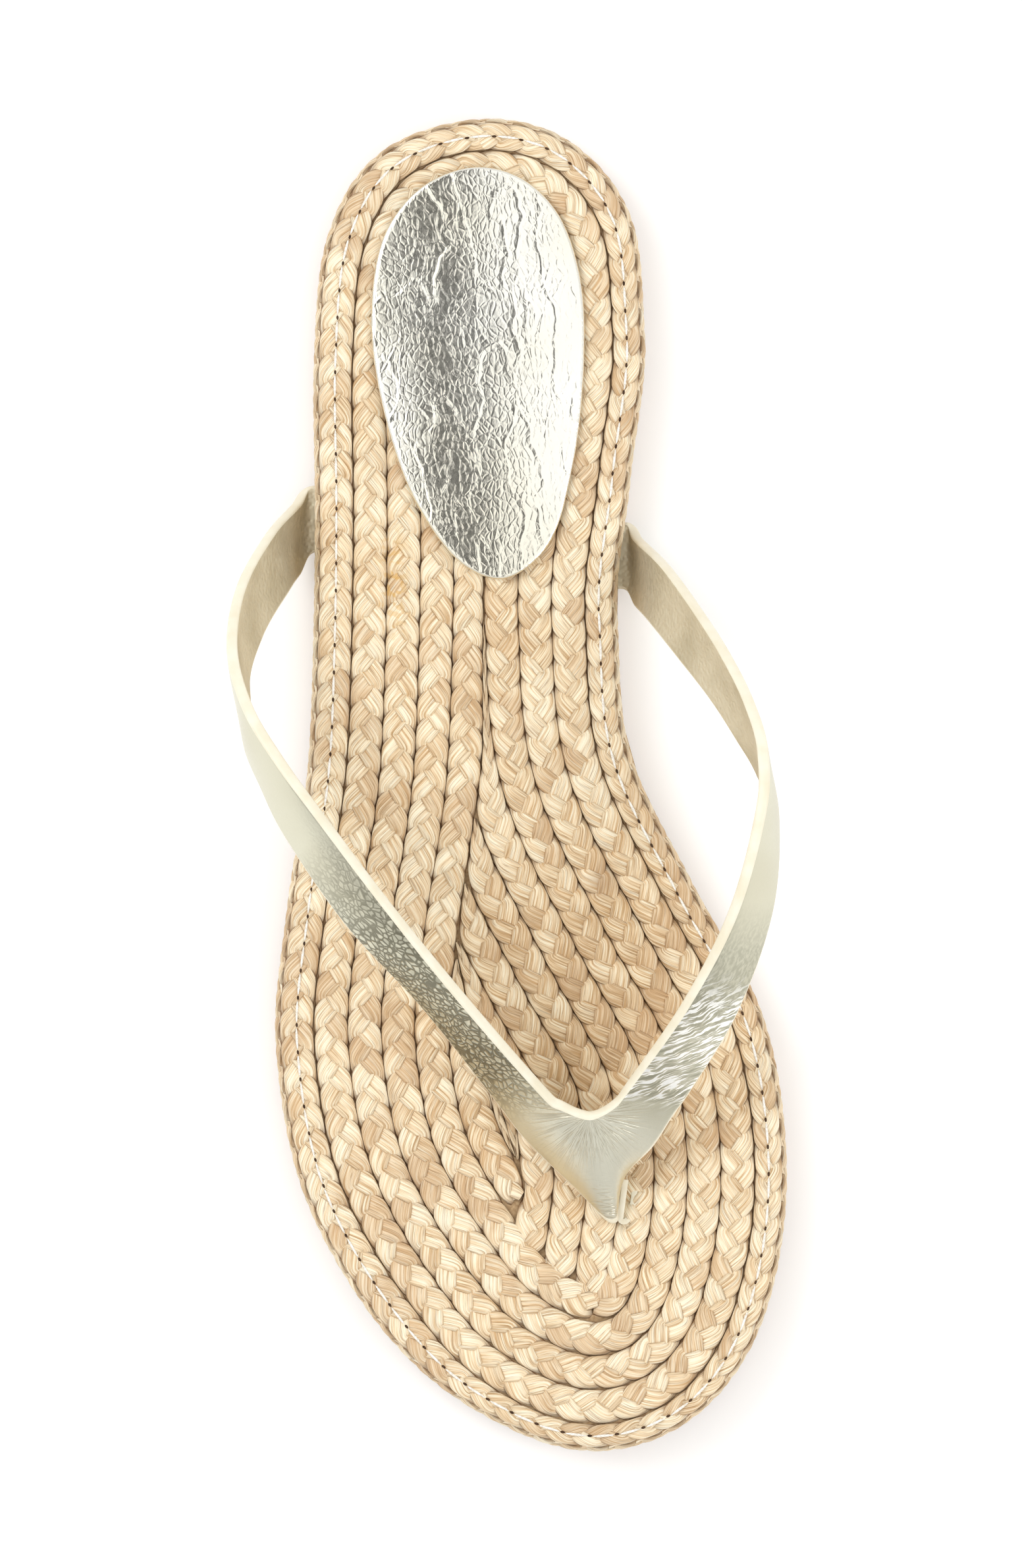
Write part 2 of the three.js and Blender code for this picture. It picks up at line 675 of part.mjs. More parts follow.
function makeOutsole() {
  return layer([
    { inward: edgeRound, z: 0 },
    { inward: edgeStep, z: edgeRound },
    { inward: edgeStep, z: outsoleThickness },
  ]);
}

// The midsole: a ledge below, and above it the side that the braid is sewn round
function makeMidsole() {
  const behindBraid = sideBraidThickness + clearance;
  const block = layer([
    { inward: edgeStep, z: midsoleBottom },
    { inward: edgeStep, z: ledgeTop },
    { inward: behindBraid, z: ledgeTop },
    { inward: behindBraid, z: midsoleTop },
  ]);
  const cuts = [postHole(post.bottom - clearance), tailRecess(rows[0]), tailRecess(rows[rows.length - 1])];
  return geometryFrom(cuts.reduce((body, cut) => body.subtract(cut), solid(block)));
}

// The braid round the side: one rounded course standing on its edge
const sideSection = [
  { inward: 1, height: 0 },
  { inward: 0.35, height: 0.04 },
  { inward: 0, height: 0.3 },
  { inward: 0, height: 0.7 },
  { inward: 0.35, height: 0.96 },
  { inward: 1, height: 1 },
];

function makeSideBraid() {
  const height = midsoleTop - sideBraidBottom;
  const rings = sideSection.map((row) => inset(edge, row.inward * sideBraidThickness)
    .map(({ x, y }) => [x, y, sideBraidBottom + row.height * height + lift(y)]));
  const points = edge.flatMap((_, i) => rings.map((ring) => ring[i]));
  const size = rings.length;
  const faces = skin(edge.length + 1, size, true).map((face) => face.map((i) => i % points.length));
  return geometryFrom(facingOut(points, faces));
}

function makeFootbed() {
  const base = solid(layer([
    { inward: footbedOverhang + edgeRound, z: footbedBottom },
    { inward: footbedOverhang, z: footbedBottom + edgeRound },
    { inward: footbedOverhang, z: courseFoot },
  ]));
  const bars = courseLines().map(thinLine).map(({ path, closed }) => courseBar(path, closed));
  const braided = [rimCourse(), ...bars].reduce((body, bar) => body.add(bar), base);
  return geometryFrom(braided.subtract(postHole(footbedBottom - clearance / 2)));
}

// The heel pad: a thin leaf of leather with a softened upper edge
function makePad() {
  const curve = new THREE.CatmullRomCurve3(padRows.map(({ across, along }) => new THREE.Vector3(
    padAcross * ballWidth + across * padWidth, padAlong * soleLength + along * padLength, 0)), true);
  const outline = curve.getPoints(48).slice(0, -1);
  const levels = [
    { inward: 0, z: padBottom },
    { inward: 0, z: padBottom + padThickness - padEdgeRound },
    { inward: padEdgeRound, z: padBottom + padThickness },
  ];
  const points = levels.flatMap(({ inward, z }) => inset(outline, inward).map(({ x, y }) => [x, y, z + lift(y)]));
  const count = outline.length;
  const faces = skin(levels.length, count, true);
  const caps = THREE.ShapeUtils.triangulateShape(outline.map(({ x, y }) => new THREE.Vector2(x, y)), []);
  const top = (levels.length - 1) * count;
  caps.forEach(([a, b, c]) => faces.push([a + top, b + top, c + top], [a, c, b]));
  return geometryOf(points, faces);
}

function piece(name, geometry, color, roughness, metalness) {
  geometry.computeVertexNormals();
  const mesh = new THREE.Mesh(geometry, new THREE.MeshStandardMaterial({ color, roughness, metalness }));
  mesh.name = name;
  return mesh;
}

const sandal = new THREE.Group();
sandal.add(
  piece('outsole', makeOutsole(), 0xb98f5f, 0.85, 0),
  piece('midsole', makeMidsole(), 0xcfae7c, 0.9, 0),
  piece('side_braid', makeSideBraid(), 0xd9bd8c, 0.8, 0),
  piece('braided_footbed', makeFootbed(), 0xe3c99b, 0.8, 0),
  piece('heel_pad', makePad(), 0xc9c4ae, 0.35, 0.8),
  piece('thong_strap', geometryFrom(makeStrap()), 0xbdb99f, 0.4, 0.7),
);

sandal.position.y = (0.5 - heelMiddle) * soleLength;

export default sandal;
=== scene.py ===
# A braided straw thong sandal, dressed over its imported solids. Metres, +Z up, +Y towards the toe.
import math

import bpy
import numpy as np
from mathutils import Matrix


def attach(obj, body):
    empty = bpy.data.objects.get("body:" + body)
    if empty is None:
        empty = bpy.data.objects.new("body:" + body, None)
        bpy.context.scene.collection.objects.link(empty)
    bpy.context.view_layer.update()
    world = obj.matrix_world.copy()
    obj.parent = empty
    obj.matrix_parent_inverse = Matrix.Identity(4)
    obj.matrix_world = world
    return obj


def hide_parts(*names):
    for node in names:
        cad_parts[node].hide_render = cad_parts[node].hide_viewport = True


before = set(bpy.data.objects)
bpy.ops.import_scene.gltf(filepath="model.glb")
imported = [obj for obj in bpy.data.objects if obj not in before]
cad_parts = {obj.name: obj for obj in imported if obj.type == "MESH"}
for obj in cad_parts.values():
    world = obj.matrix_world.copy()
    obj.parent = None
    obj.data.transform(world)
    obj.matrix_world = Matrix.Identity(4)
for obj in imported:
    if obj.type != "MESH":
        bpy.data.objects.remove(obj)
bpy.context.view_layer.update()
bpy.ops.object.select_all(action="DESELECT")


# The outsole
# A thin sheet of tan sole rubber, cut to the sole's edge and cemented under the midsole. It is matt
# with a fine grain, and the walking side is lightly scuffed.
class Wire:
    """One output of a shader node, on which arithmetic adds Math nodes."""

    def __init__(self, tree, socket=None):
        self.tree = tree
        self.socket = socket

    def node(self, kind, inputs, out=0, **settings):
        made = self.tree.nodes.new(kind)
        for name, value in settings.items():
            if name == "stops":
                ramp = made.color_ramp
                while len(ramp.elements) < len(value):
                    ramp.elements.new(1.0)
                for element, (place, colour) in zip(ramp.elements, value):
                    element.position = place
                    element.color = colour if hasattr(colour, "__len__") else (colour,) * 3 + (1,)
            else:
                setattr(made, name, value)
        for key, value in inputs.items():
            if isinstance(value, Wire):
                self.tree.links.new(value.socket, made.inputs[key])
            else:
                made.inputs[key].default_value = value
        return Wire(self.tree, made.outputs[out])

    def math(self, operation, other=0.0, swapped=False):
        pair = (other, self) if swapped else (self, other)
        return self.node("ShaderNodeMath", dict(enumerate(pair)), operation=operation)

    def __add__(self, other):
        return self.math("ADD", other)

    def __sub__(self, other):
        return self.math("SUBTRACT", other)

    def __rsub__(self, other):
        return self.math("SUBTRACT", other, swapped=True)

    def __mul__(self, other):
        return self.math("MULTIPLY", other)

    __radd__ = __add__
    __rmul__ = __mul__

    def steps(self, *stops):
        return self.node("ShaderNodeValToRGB", {0: self}, stops=stops)

    def tint(self, share, colour):
        """This colour, mixed with another by a share."""
        return self.node("ShaderNodeMix", {0: share, 6: self, 7: colour}, out=2, data_type="RGBA")

    def vector(self, operation, other=(0, 0, 0), out=0):
        return self.node("ShaderNodeVectorMath", {0: self, 1: other}, out=out, operation=operation)

    def scaled(self, x, y, z):
        return self.vector("MULTIPLY", (x, y, z))

    def away_from(self, spot):
        return self.vector("DISTANCE", spot, "Value")

    def part(self, axis):
        return self.node("ShaderNodeSeparateXYZ", {0: self}, out=axis)

    def marked(self, attribute):
        return self.node("ShaderNodeAttribute", {}, out="Vector", attribute_name=attribute)

    def noise(self, scale, detail, out=0):
        inputs = {"Vector": self, "Scale": scale, "Detail": detail}
        return self.node("ShaderNodeTexNoise", inputs, out=out)

    def pebbled(self, scale, feature="F1"):
        return self.node("ShaderNodeTexVoronoi", {"Vector": self, "Scale": scale}, feature=feature)

    def bump(self, strength, distance):
        """This height as a bump on the surface."""
        return self.node("ShaderNodeBump", {"Height": self, "Strength": strength, "Distance": distance})


def finish_named(name, **constants):
    """A new material, the places on its piece in metres, and a way to link its shader."""
    material = bpy.data.materials.new(name)
    material.use_nodes = True
    shader = material.node_tree.nodes["Principled BSDF"]
    for key, value in constants.items():
        shader.inputs[key.replace("_", " ")].default_value = value
    place = Wire(material.node_tree).node("ShaderNodeTexCoord", {}, out="Object")

    def link(**wires):
        for key, wire in wires.items():
            material.node_tree.links.new(wire.socket, shader.inputs[key.replace("_", " ")])

    return material, place, link


def give(node, material):
    node.data.materials.clear()
    node.data.materials.append(material)


sole_tan = (0.42, 0.27, 0.14, 1)
sole_worn = (0.30, 0.18, 0.09, 1)
sole_scuff = (0.60, 0.45, 0.28, 1)

sole_rubber, place, link = finish_named("sole_rubber")
cloud = place.noise(70.0, 5.0)
scuffs = place.scaled(900, 120, 900).noise(1.0, 3.0)
pores = place.pebbled(1800.0)
dyed = cloud.steps((0.35, sole_tan), (0.7, sole_worn))
link(
    Base_Color=dyed.tint(scuffs.steps((0.6, 0), (0.75, 0.5)), sole_scuff),
    Roughness=0.55 + 0.25 * cloud,
    Normal=(pores + scuffs).bump(0.35, 0.0001),
)
give(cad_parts["outsole"], sole_rubber)


# The midsole
# The inner sole of light pressed board between the outsole and the braid. Only its ledge shows, below
# the braid round the side, with the cut fibres at its edge.
pressed_light = (0.72, 0.55, 0.34, 1)
pressed_dark = (0.45, 0.31, 0.17, 1)

pressed_board, place, link = finish_named("pressed_board")
layers = place.scaled(300, 300, 2500).noise(1.0, 4.0)
link(
    Base_Color=layers.steps((0.35, pressed_dark), (0.65, pressed_light)),
    Roughness=0.75 + 0.15 * layers,
    Normal=layers.bump(0.6, 0.0002),
)
give(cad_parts["midsole"], pressed_board)


# The braid round the side
# One plait of three raffia strands, stood on its edge and sewn round the midsole. A strand is a flat
# bundle of split palm leaf, so its face shows long fine fibres, from cream to a pinkish tan.
sole_length = 0.250
ball_width = 0.0944
sole_middle = 0.080
side_bottom = 0.0061
side_top = 0.0124
side_thickness = 0.0021
side_reach = 0.0031
side_leaf = 0.00095
side_tilt = 0.08
side_breadth = 1.6
side_shade = 0.78
spring_from = 0.76
toe_spring = 0.005
arch_from = 0.36
arch_to = 0.6
arch_rise = 0.001
edge_stations = 240
walk = 0.0008

# A plait: how its strands lie, as shares of its reach to either side, and how finely they are drawn
plait_pitch = 0.0051
strand_swing = 0.74
strand_breadth = 1.3
strand_free = 0.78
strand_squash = 0.22
strand_tilt = 0.3
strand_flatness = 0.65
wave_bend = 0.9
strand_points = 12
rows_a_pitch = 8

# Along from the heel, and the two sides from the heel's centre line, as shares of length and width
edge_rows = [
    (0.00, -0.026, -0.026), (0.02, 0.175, -0.198), (0.08, 0.291, -0.313), (0.17, 0.334, -0.326),
    (0.28, 0.352, -0.277), (0.38, 0.373, -0.234), (0.48, 0.403, -0.241), (0.58, 0.461, -0.346),
    (0.68, 0.501, -0.466), (0.78, 0.475, -0.497), (0.86, 0.391, -0.472), (0.93, 0.260, -0.401),
    (0.98, 0.083, -0.276), (1.00, -0.098, -0.098),
]


def follow(knots, values, at):
    """A smooth curve through uneven knots, level at each highest and lowest value."""
    knots, values = np.asarray(knots, float), np.asarray(values, float)
    steps = np.diff(values)
    slope = np.empty(len(values))
    slope[0] = steps[0] / (knots[1] - knots[0])
    slope[-1] = steps[-1] / (knots[-1] - knots[-2])
    slope[1:-1] = (values[2:] - values[:-2]) / (knots[2:] - knots[:-2])
    slope[1:-1][steps[1:] * steps[:-1] <= 0] = 0
    i = np.clip(np.searchsorted(knots, at) - 1, 0, len(knots) - 2)
    span = knots[i + 1] - knots[i]
    t = np.clip((at - knots[i]) / span, 0, 1)
    start = (1 + 2 * t) * (1 - t) ** 2 * values[i] + t * (1 - t) ** 2 * span * slope[i]
    return start + t * t * (3 - 2 * t) * values[i + 1] + t * t * (t - 1) * span * slope[i + 1]


def sole_edge(stations):
    """Points round the sole's edge: heel, little toe's side, toe, big toe's side."""
    along, lateral, medial = np.array(edge_rows).T
    knots = np.arccos(1 - 2 * along)
    turn = np.linspace(0, math.pi, stations + 1)
    y = -np.cos(turn) * sole_length / 2
    one = np.column_stack([follow(knots, lateral, turn) * ball_width, y])
    other = np.column_stack([follow(knots, medial, turn) * ball_width, y])
    return np.vstack([one, other[-2:0:-1]])


def lift(y):
    """How far the arch and the toe spring lift every layer."""
    along = y / sole_length + 0.5
    spring = np.maximum(0, along - spring_from) / (1 - spring_from)
    bow = np.sin(math.pi * (along - arch_from) / (arch_to - arch_from)) ** 2
    arch = np.where((along > arch_from) & (along < arch_to), bow, 0)
    return toe_spring * spring ** 2 + arch_rise * arch


def across_line(line, closed):
    """The unit direction to the right of a line in plan, at each of its points."""
    if closed:
        way = np.roll(line, -1, 0) - np.roll(line, 1, 0)
    else:
        way = np.gradient(line, axis=0)
    way /= np.linalg.norm(way, axis=1)[:, None]
    return np.column_stack([way[:, 1], -way[:, 0]])


def inset(ring, distance):
    """A closed ring moved inwards, by one distance or by one for each point."""
    return ring - across_line(ring, True) * np.reshape(distance, (-1, 1))


def step_lengths(line):
    return np.linalg.norm(np.diff(line, axis=0), axis=1)


def run_along(line):
    """The distance along a line to each of its points."""
    return np.concatenate([[0], np.cumsum(step_lengths(line))])


def even(line, closed):
    """The line with evenly spaced points."""
    if closed:
        line = np.vstack([line, line[:1]])
    run = run_along(line)
    at = np.linspace(0, run[-1], max(4, round(run[-1] / walk)) + 1)
    made = np.column_stack([np.interp(at, run, column) for column in line.T])
    return made[:-1] if closed else made


def laid_along(line, closed, level):
    """For each point of a line in plan, its place on the shoe, the way to its right and the way up."""
    at = np.column_stack([line, level + lift(line[:, 1])])
    across = np.column_stack([across_line(line, closed), np.zeros(len(line))])
    return at, across, np.tile([0.0, 0.0, 1.0], (len(line), 1))


def plait(at, across, up, closed, reach, thickness, seed, wide=None, sink=None,
          tilt=strand_tilt, breadth=strand_breadth):
    """A plait of three flat strands along points in space: its points, faces and strand marks, among them
    the painted shade of its hollows and of its strands' edges.
    The strands are pressed flat where they would pass its reach to either side."""
    swing = strand_swing * reach
    strand_width = breadth * reach
    count = len(at)
    wide = np.ones(count) if wide is None else wide
    sink = np.zeros(count) if sink is None else sink
    rows = np.column_stack([at, across, up, wide, sink])
    if closed:
        rows = np.vstack([rows, rows[:1]])
    run = run_along(rows[:, :3])
    pitches = max(2, round(run[-1] / plait_pitch))
    omega = 2 * math.pi * pitches / 3 / run[-1]
    s = np.linspace(0, run[-1], rows_a_pitch * pitches + 1)
    row = np.column_stack([np.interp(s, run, column) for column in rows.T])
    centre, side, top, wide, sink = row[:, :3], row[:, 3:6], row[:, 6:9], row[:, 9:10], row[:, 10:11]
    ahead = np.cross(top, side)
    around = np.linspace(0, 2 * math.pi, strand_points, endpoint=False) - math.pi / 2
    rise = thickness * 0.5
    random = np.random.default_rng(seed)
    points, marks, strands, faces = [], [], [], []
    for strand in range(3):
        turn = (omega * s + 2 * math.pi * strand / 3)[:, None]
        bent = wave_bend * np.sin(turn)
        x = swing * np.arcsin(bent) / math.asin(wave_bend) * wide
        z = rise * np.sin(2 * turn) + sink
        slope = swing * omega * wave_bend * np.cos(turn) / np.sqrt(1 - bent ** 2)
        slope = slope / math.asin(wave_bend) * wide
        flat = np.hypot(1, slope)
        roll = tilt * np.sin(turn)
        out = np.cos(around)[None, :] * strand_width / 2 * wide
        over = np.sign(np.sin(around)) * np.abs(np.sin(around)) ** strand_flatness * thickness / 2
        level = (out * np.cos(roll) + over * np.sin(roll)) / flat
        px = x + level
        py = -level * slope
        pz = z + over * np.cos(roll) - out * np.sin(roll)
        free = strand_free * reach * wide
        slack = strand_squash * reach * wide
        past = np.maximum(np.abs(px) - free, 0)
        px = np.where(past > 0, np.sign(px) * (free + slack * np.tanh(past / slack)), px)
        first = len(points) * len(s) * strand_points
        spot = centre[:, None] + ahead[:, None] * py[..., None] + side[:, None] * px[..., None]
        points.append((spot + top[:, None] * pz[..., None]).reshape(-1, 3))
        leaf = (turn[:, 0] - math.pi / 4) / math.pi
        tones = random.random(int(leaf.max()) + 4)
        tone = np.interp(leaf, np.arange(len(tones)) - 1, tones)
        # Painted shade: the lower a strand lies, and the nearer its edges, the darker it is painted
        hollow_shade = np.clip((1.35 * thickness - pz) / (2.1 * thickness), 0, 1)
        rim = np.abs(np.cos(around))[None, :] ** 6 * np.ones_like(px)
        marks.append(np.stack([hollow_shade, tone[:, None] * np.ones_like(px), rim], -1).reshape(-1, 3))
        u = np.arange(strand_points)[None, :] / strand_points * np.ones_like(px)
        length = s[:, None] * np.ones_like(px)
        strands.append(np.stack([u, length, np.full_like(px, seed * 3 + strand)], -1).reshape(-1, 3))
        r, i = np.meshgrid(np.arange(len(s) - 1), np.arange(strand_points), indexing="ij")
        a = first + r * strand_points + i
        b = first + r * strand_points + (i + 1) % strand_points
        faces.append(np.stack([a, b, b + strand_points, a + strand_points], -1).reshape(-1, 4))
    return np.vstack(points), np.vstack(faces), np.vstack(marks), np.vstack(strands)


def smooth(mesh):
    mesh.polygons.foreach_set("use_smooth", [True] * len(mesh.polygons))


def build(name, points, faces, material, attributes=()):
    """A piece from points counted from the middle of the sole's length, riding on the shoe."""
    mesh = bpy.data.meshes.new(name)
    mesh.from_pydata((np.asarray(points) + [0, sole_middle, 0]).tolist(), [], [list(f) for f in faces])
    for key, values in attributes:
        marked = mesh.attributes.new(key, "FLOAT_VECTOR", "POINT")
        marked.data.foreach_set("vector", values.astype(np.float32).ravel())
    smooth(mesh)
    mesh.materials.append(material)
    piece = bpy.data.objects.new(name, mesh)
    bpy.context.scene.collection.objects.link(piece)
    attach(piece, "root")
    return piece


def build_plaits(name, plaits, material):
    """Plaits joined to one piece, with their marks."""
    first = 0
    faces = []
    for points, quads, _, _ in plaits:
        faces.append(quads + first)
        first += len(points)
    parts = [np.vstack([each[k] for each in plaits]) for k in (0, 2, 3)]
    return build(name, parts[0], np.vstack(faces), material, [("marks", parts[1]), ("strand", parts[2])])


raffia_cream = (0.98, 0.88, 0.67, 1)
raffia_straw = (0.88, 0.70, 0.46, 1)
raffia_tan = (0.62, 0.40, 0.20, 1)
raffia_blush = (0.60, 0.40, 0.23, 1)
raffia_hair = (0.36, 0.19, 0.08, 1)
# Painted shade for the plaits' hollows and strand edges
raffia_painted_shade = (0.22, 0.105, 0.04, 1)
stain_brown = (0.40, 0.22, 0.10, 1)
stain_place = (-0.0158, 0.099, 0.0145)
glue_amber = (0.72, 0.42, 0.10, 1)
glue_place = (0.0193, 0.0102, 0)
# The middle of a darker, tanner spot between the strap's arms
tan_spot_place = (-0.012, 0.125, 0.0)

raffia, place, link = finish_named("raffia", Specular_IOR_Level=0.35)
strand = place.marked("strand")
marks = place.marked("marks")
# Painted shade of the hollows and strand edges, and each leaf's tone
hollow_shade = marks.part("X")
tone = marks.part("Y")
rim = marks.part("Z")
fibre = strand.scaled(34, 150, 3.7).noise(1.0, 5.0)
split = strand.scaled(48, 60, 5.3).noise(1.0, 1.0)
patch = place.noise(55.0, 3.0)
hairs = split.steps((0.47, 0), (0.5, 1), (0.53, 0))
# Darker, tanner straw round a spot between the strap's arms
tan_spot = place.away_from(tan_spot_place).steps((0.018, 1), (0.046, 0))
mixed = (0.36 * tone + 2.6 * fibre + 0.2 * tan_spot - 1.02).steps(
    (0.12, raffia_cream), (0.5, raffia_straw), (0.95, raffia_tan))
blushed = mixed.tint((patch * tone).steps((0.28, 0), (0.5, 0.45)), raffia_blush)
lined = blushed.tint(hairs * 0.65, raffia_hair)
stained = lined.tint(place.away_from(stain_place).steps((0.0006, 0.6), (0.0024, 0)), stain_brown)
from_glue = place.scaled(1, 0.25, 0).away_from(glue_place)
drops = place.noise(700.0, 1.0)
glue = from_glue.steps((0.0012, 1), (0.0022, 0)) * drops.steps((0.5, 0), (0.58, 0.75))
glued = stained.tint(glue, glue_amber)
# Painted shade: darker where a strand dips low and at the strands' edges
shaded = glued.tint((hollow_shade + 0.3 * rim).steps((0.5, 0), (0.7, 0.4), (0.92, 1)), raffia_painted_shade)
link(
    Base_Color=shaded,
    Roughness=0.42 + 0.25 * fibre,
    Normal=(fibre - 0.4 * hairs).bump(0.6, 0.0003),
)

edge = sole_edge(edge_stations)
side_line = even(inset(edge, side_thickness / 2), True)
side_at, side_out, upright = laid_along(side_line, True, (side_bottom + side_top) / 2)
side_plait = plait(side_at, upright, side_out, True, side_reach, side_leaf, 1,
                   tilt=side_tilt, breadth=side_breadth)
# Light falls straight into its hollows, so their painted shade is lighter
side_plait[2][:, 0] *= side_shade
side_braid = build_plaits("side_plait", [side_plait], raffia)
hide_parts("side_braid")


# The braided footbed
# The top of the sole: one long plait of raffia laid round from the rim inwards, course beside course,
# and sewn to a thin base. The courses of the two sides meet at a line up the middle.
footbed_bottom = 0.0120
base_top = 0.0131
course_middle = 0.01375
course_width = 0.00625
course_reach = 0.00313
course_leaf = 0.0011
end_taper = 0.003
end_dip = 0.0005
rim_near = 0.0011
rim_gap = 0.00012
rim_wider = 0.0012
rim_narrower = 0.0009
common_courses = 4
most_courses = 16
lateral_end = 0.81
toe_curve = 0.86
seam_overlap = 0.0004
straight_from = 0.75
least_room = 0.05
fewest_points = 12
seam_along = [0, 0.25, 0.355, 0.477, 0.584, 0.613, 0.677, 0.744, 0.804, 0.844, 0.874, 1]
seam_across = [-0.026, 0.01, 0.03, 0.052, 0.114, 0.132, 0.111, 0.06, 0.022, -0.03, -0.096, -0.098]


def smoothstep(value, low, high):
    share = np.clip((value - low) / (high - low), 0, 1)
    return share * share * (3 - 2 * share)


def rim_extra(points):
    """The rim course is a little wider on the little toe's side and narrower round the toe."""
    lateral = smoothstep(points[..., 0] / ball_width, 0, 0.3)
    toe = smoothstep(points[..., 1] / sole_length, 0.38, 0.49)
    return rim_wider * lateral * (1 - toe) - rim_narrower * toe


def inside(points):
    """Which points lie inside the sole's edge."""
    odd = np.zeros(len(points), bool)
    x, y = points.T
    for a, b in zip(edge, np.roll(edge, -1, 0)):
        if a[1] != b[1]:
            crossed = (a[1] > y) != (b[1] > y)
            odd ^= crossed & (x < a[0] + (y - a[1]) / (b[1] - a[1]) * (b[0] - a[0]))
    return odd


def depth(line, points):
    """The depth of points, counted in courses from a line along the sole's edge."""
    a, way = line[:-1], np.diff(line, axis=0)
    best = np.full(len(points), np.inf)
    nearest = np.zeros_like(points)
    for start, step in zip(a, way):
        t = np.clip((points - start) @ step / (step @ step), 0, 1)
        foot = start + t[:, None] * step
        away = np.linalg.norm(points - foot, axis=1)
        closer = away < best
        best[closer] = away[closer]
        nearest[closer] = foot[closer]
    signed = np.where(inside(points), best, -best)
    return (signed - rim_extra(nearest)) / course_width


# A grid a little larger than the sole, on which the depths are worked out
grid_step = 0.001
columns = np.arange(-0.053, 0.0531, grid_step)
ranks = np.arange(-0.1275, 0.12751, grid_step)
grid = np.stack(np.meshgrid(columns, ranks), -1)


def level_lines(field, level):
    """Lines along which a field on the grid has a level, linked from cell to cell."""
    value = field - level
    links = {}
    signs = value > 0
    mixed_cells = (signs[:-1, :-1] != signs[1:, 1:]) | (signs[:-1, 1:] != signs[1:, :-1])
    mixed_cells |= signs[:-1, :-1] != signs[:-1, 1:]
    for j, i in np.argwhere(mixed_cells):
        sides = [((j, i), (j, i + 1)), ((j, i + 1), (j + 1, i + 1)),
                 ((j + 1, i), (j + 1, i + 1)), ((j, i), (j + 1, i))]
        keys = [pair for pair in sides if signs[pair[0]] != signs[pair[1]]]
        for one, other in zip(keys[::2], keys[1::2]):
            links.setdefault(one, []).append(other)
            links.setdefault(other, []).append(one)
    spots = {}
    for one, other in links:
        t = value[one] / (value[one] - value[other])
        spots[one, other] = grid[one] + t * (grid[other] - grid[one])
    seen = set()
    lines = []
    ends = [key for key in links if len(links[key]) == 1]
    for closed, starts in ((False, ends), (True, list(links))):
        for key in starts:
            line = []
            while key is not None and key not in seen:
                seen.add(key)
                line.append(spots[key])
                key = next((other for other in links[key] if other not in seen), None)
            if len(line) > fewest_points:
                lines.append((np.array(line), closed))
    return lines


def smoothed(line, closed, passes=8):
    """The line with its small steps evened out."""
    for _ in range(passes):
        if closed:
            line = (np.roll(line, 1, 0) + 2 * line + np.roll(line, -1, 0)) / 4
        else:
            line = np.vstack([line[:1], (line[:-2] + 2 * line[1:-1] + line[2:]) / 4, line[-1:]])
    return line


def seam_at(y):
    """Where the line at which the two sides meet lies across the sole."""
    return np.interp(y / sole_length + 0.5, seam_along, seam_across) * ball_width


# The lines from which the courses' depths are counted: each side runs on a little round its ends
cap = 48
run_on = 0.06
whole_edge = np.vstack([edge, edge[:1]])
lateral_side = edge[:edge_stations + cap]
medial_side = np.vstack([edge[edge_stations - cap:], edge[:cap]])
straight_side = whole_edge[edge_stations:]
straight_side = straight_side[straight_side[:, 1] < (toe_curve - 0.5) * sole_length]
onward = straight_side[0] - straight_side[1]
straight_side = np.vstack([straight_side[0] + onward / np.linalg.norm(onward) * run_on, straight_side])
spots = grid.reshape(-1, 2)
starts = {"whole": whole_edge, "lateral": lateral_side, "medial": medial_side, "straight": straight_side}
depths = {key: depth(line, spots).reshape(grid.shape[:2]) for key, line in starts.items()}


def on_grid(field, points):
    """A field's values at points, between those of the grid."""
    at = (points - [columns[0], ranks[0]]) / grid_step
    low = np.clip(at.astype(int), 0, [len(columns) - 2, len(ranks) - 2])
    x, y = (at - low).T
    i, j = low.T
    one = field[j, i] * (1 - x) + field[j, i + 1] * x
    return one * (1 - y) + (field[j + 1, i] * (1 - x) + field[j + 1, i + 1] * x) * y


def room_left(key, k, y):
    """How much of a course's width there is between its outer neighbour and the meeting line."""
    along = y / sole_length + 0.5
    past_line = along > (toe_curve if k == common_courses else lateral_end)
    room = on_grid(depths[key], np.column_stack([seam_at(y), y])) - k
    return np.clip(np.where(past_line, 1, room), 0, 1)


def stays_with(side, k, points):
    """Which points of a course at a depth stay with its side."""
    along = points[:, 1] / sole_length + 0.5
    outermost = k == common_courses
    on_side = side * (points[:, 0] - seam_at(points[:, 1])) > -seam_overlap
    if side > 0:
        own = on_side & (outermost | (along < lateral_end))
        return own & (on_grid(depths["medial"], points) > common_courses)
    to_lateral = on_grid(depths["lateral"], points)
    if outermost:
        return on_side & (to_lateral > common_courses)
    return (on_side | (along > lateral_end)) & (to_lateral > common_courses + straight_from)


def course(line, closed, seed, key=None, k=0):
    """The plait along one course, narrowed beside the meeting line and tucked down at its ends."""
    line = even(smoothed(line, closed), closed)
    wide = np.ones(len(line))
    sink = np.zeros(len(line))
    if not closed:
        run = np.arange(len(line)) * walk
        end = np.clip(np.minimum(run, run[-1] - run) / end_taper, 0, 1)
        wide = smoothed(room_left(key, k, line[:, 1])[:, None], False, 12)[:, 0] * (0.8 + 0.2 * end)
        sink = -end_dip * (1 - end) ** 2
    laid = laid_along(line, closed, course_middle)
    return plait(*laid, closed, course_reach, course_leaf, seed, wide, sink)


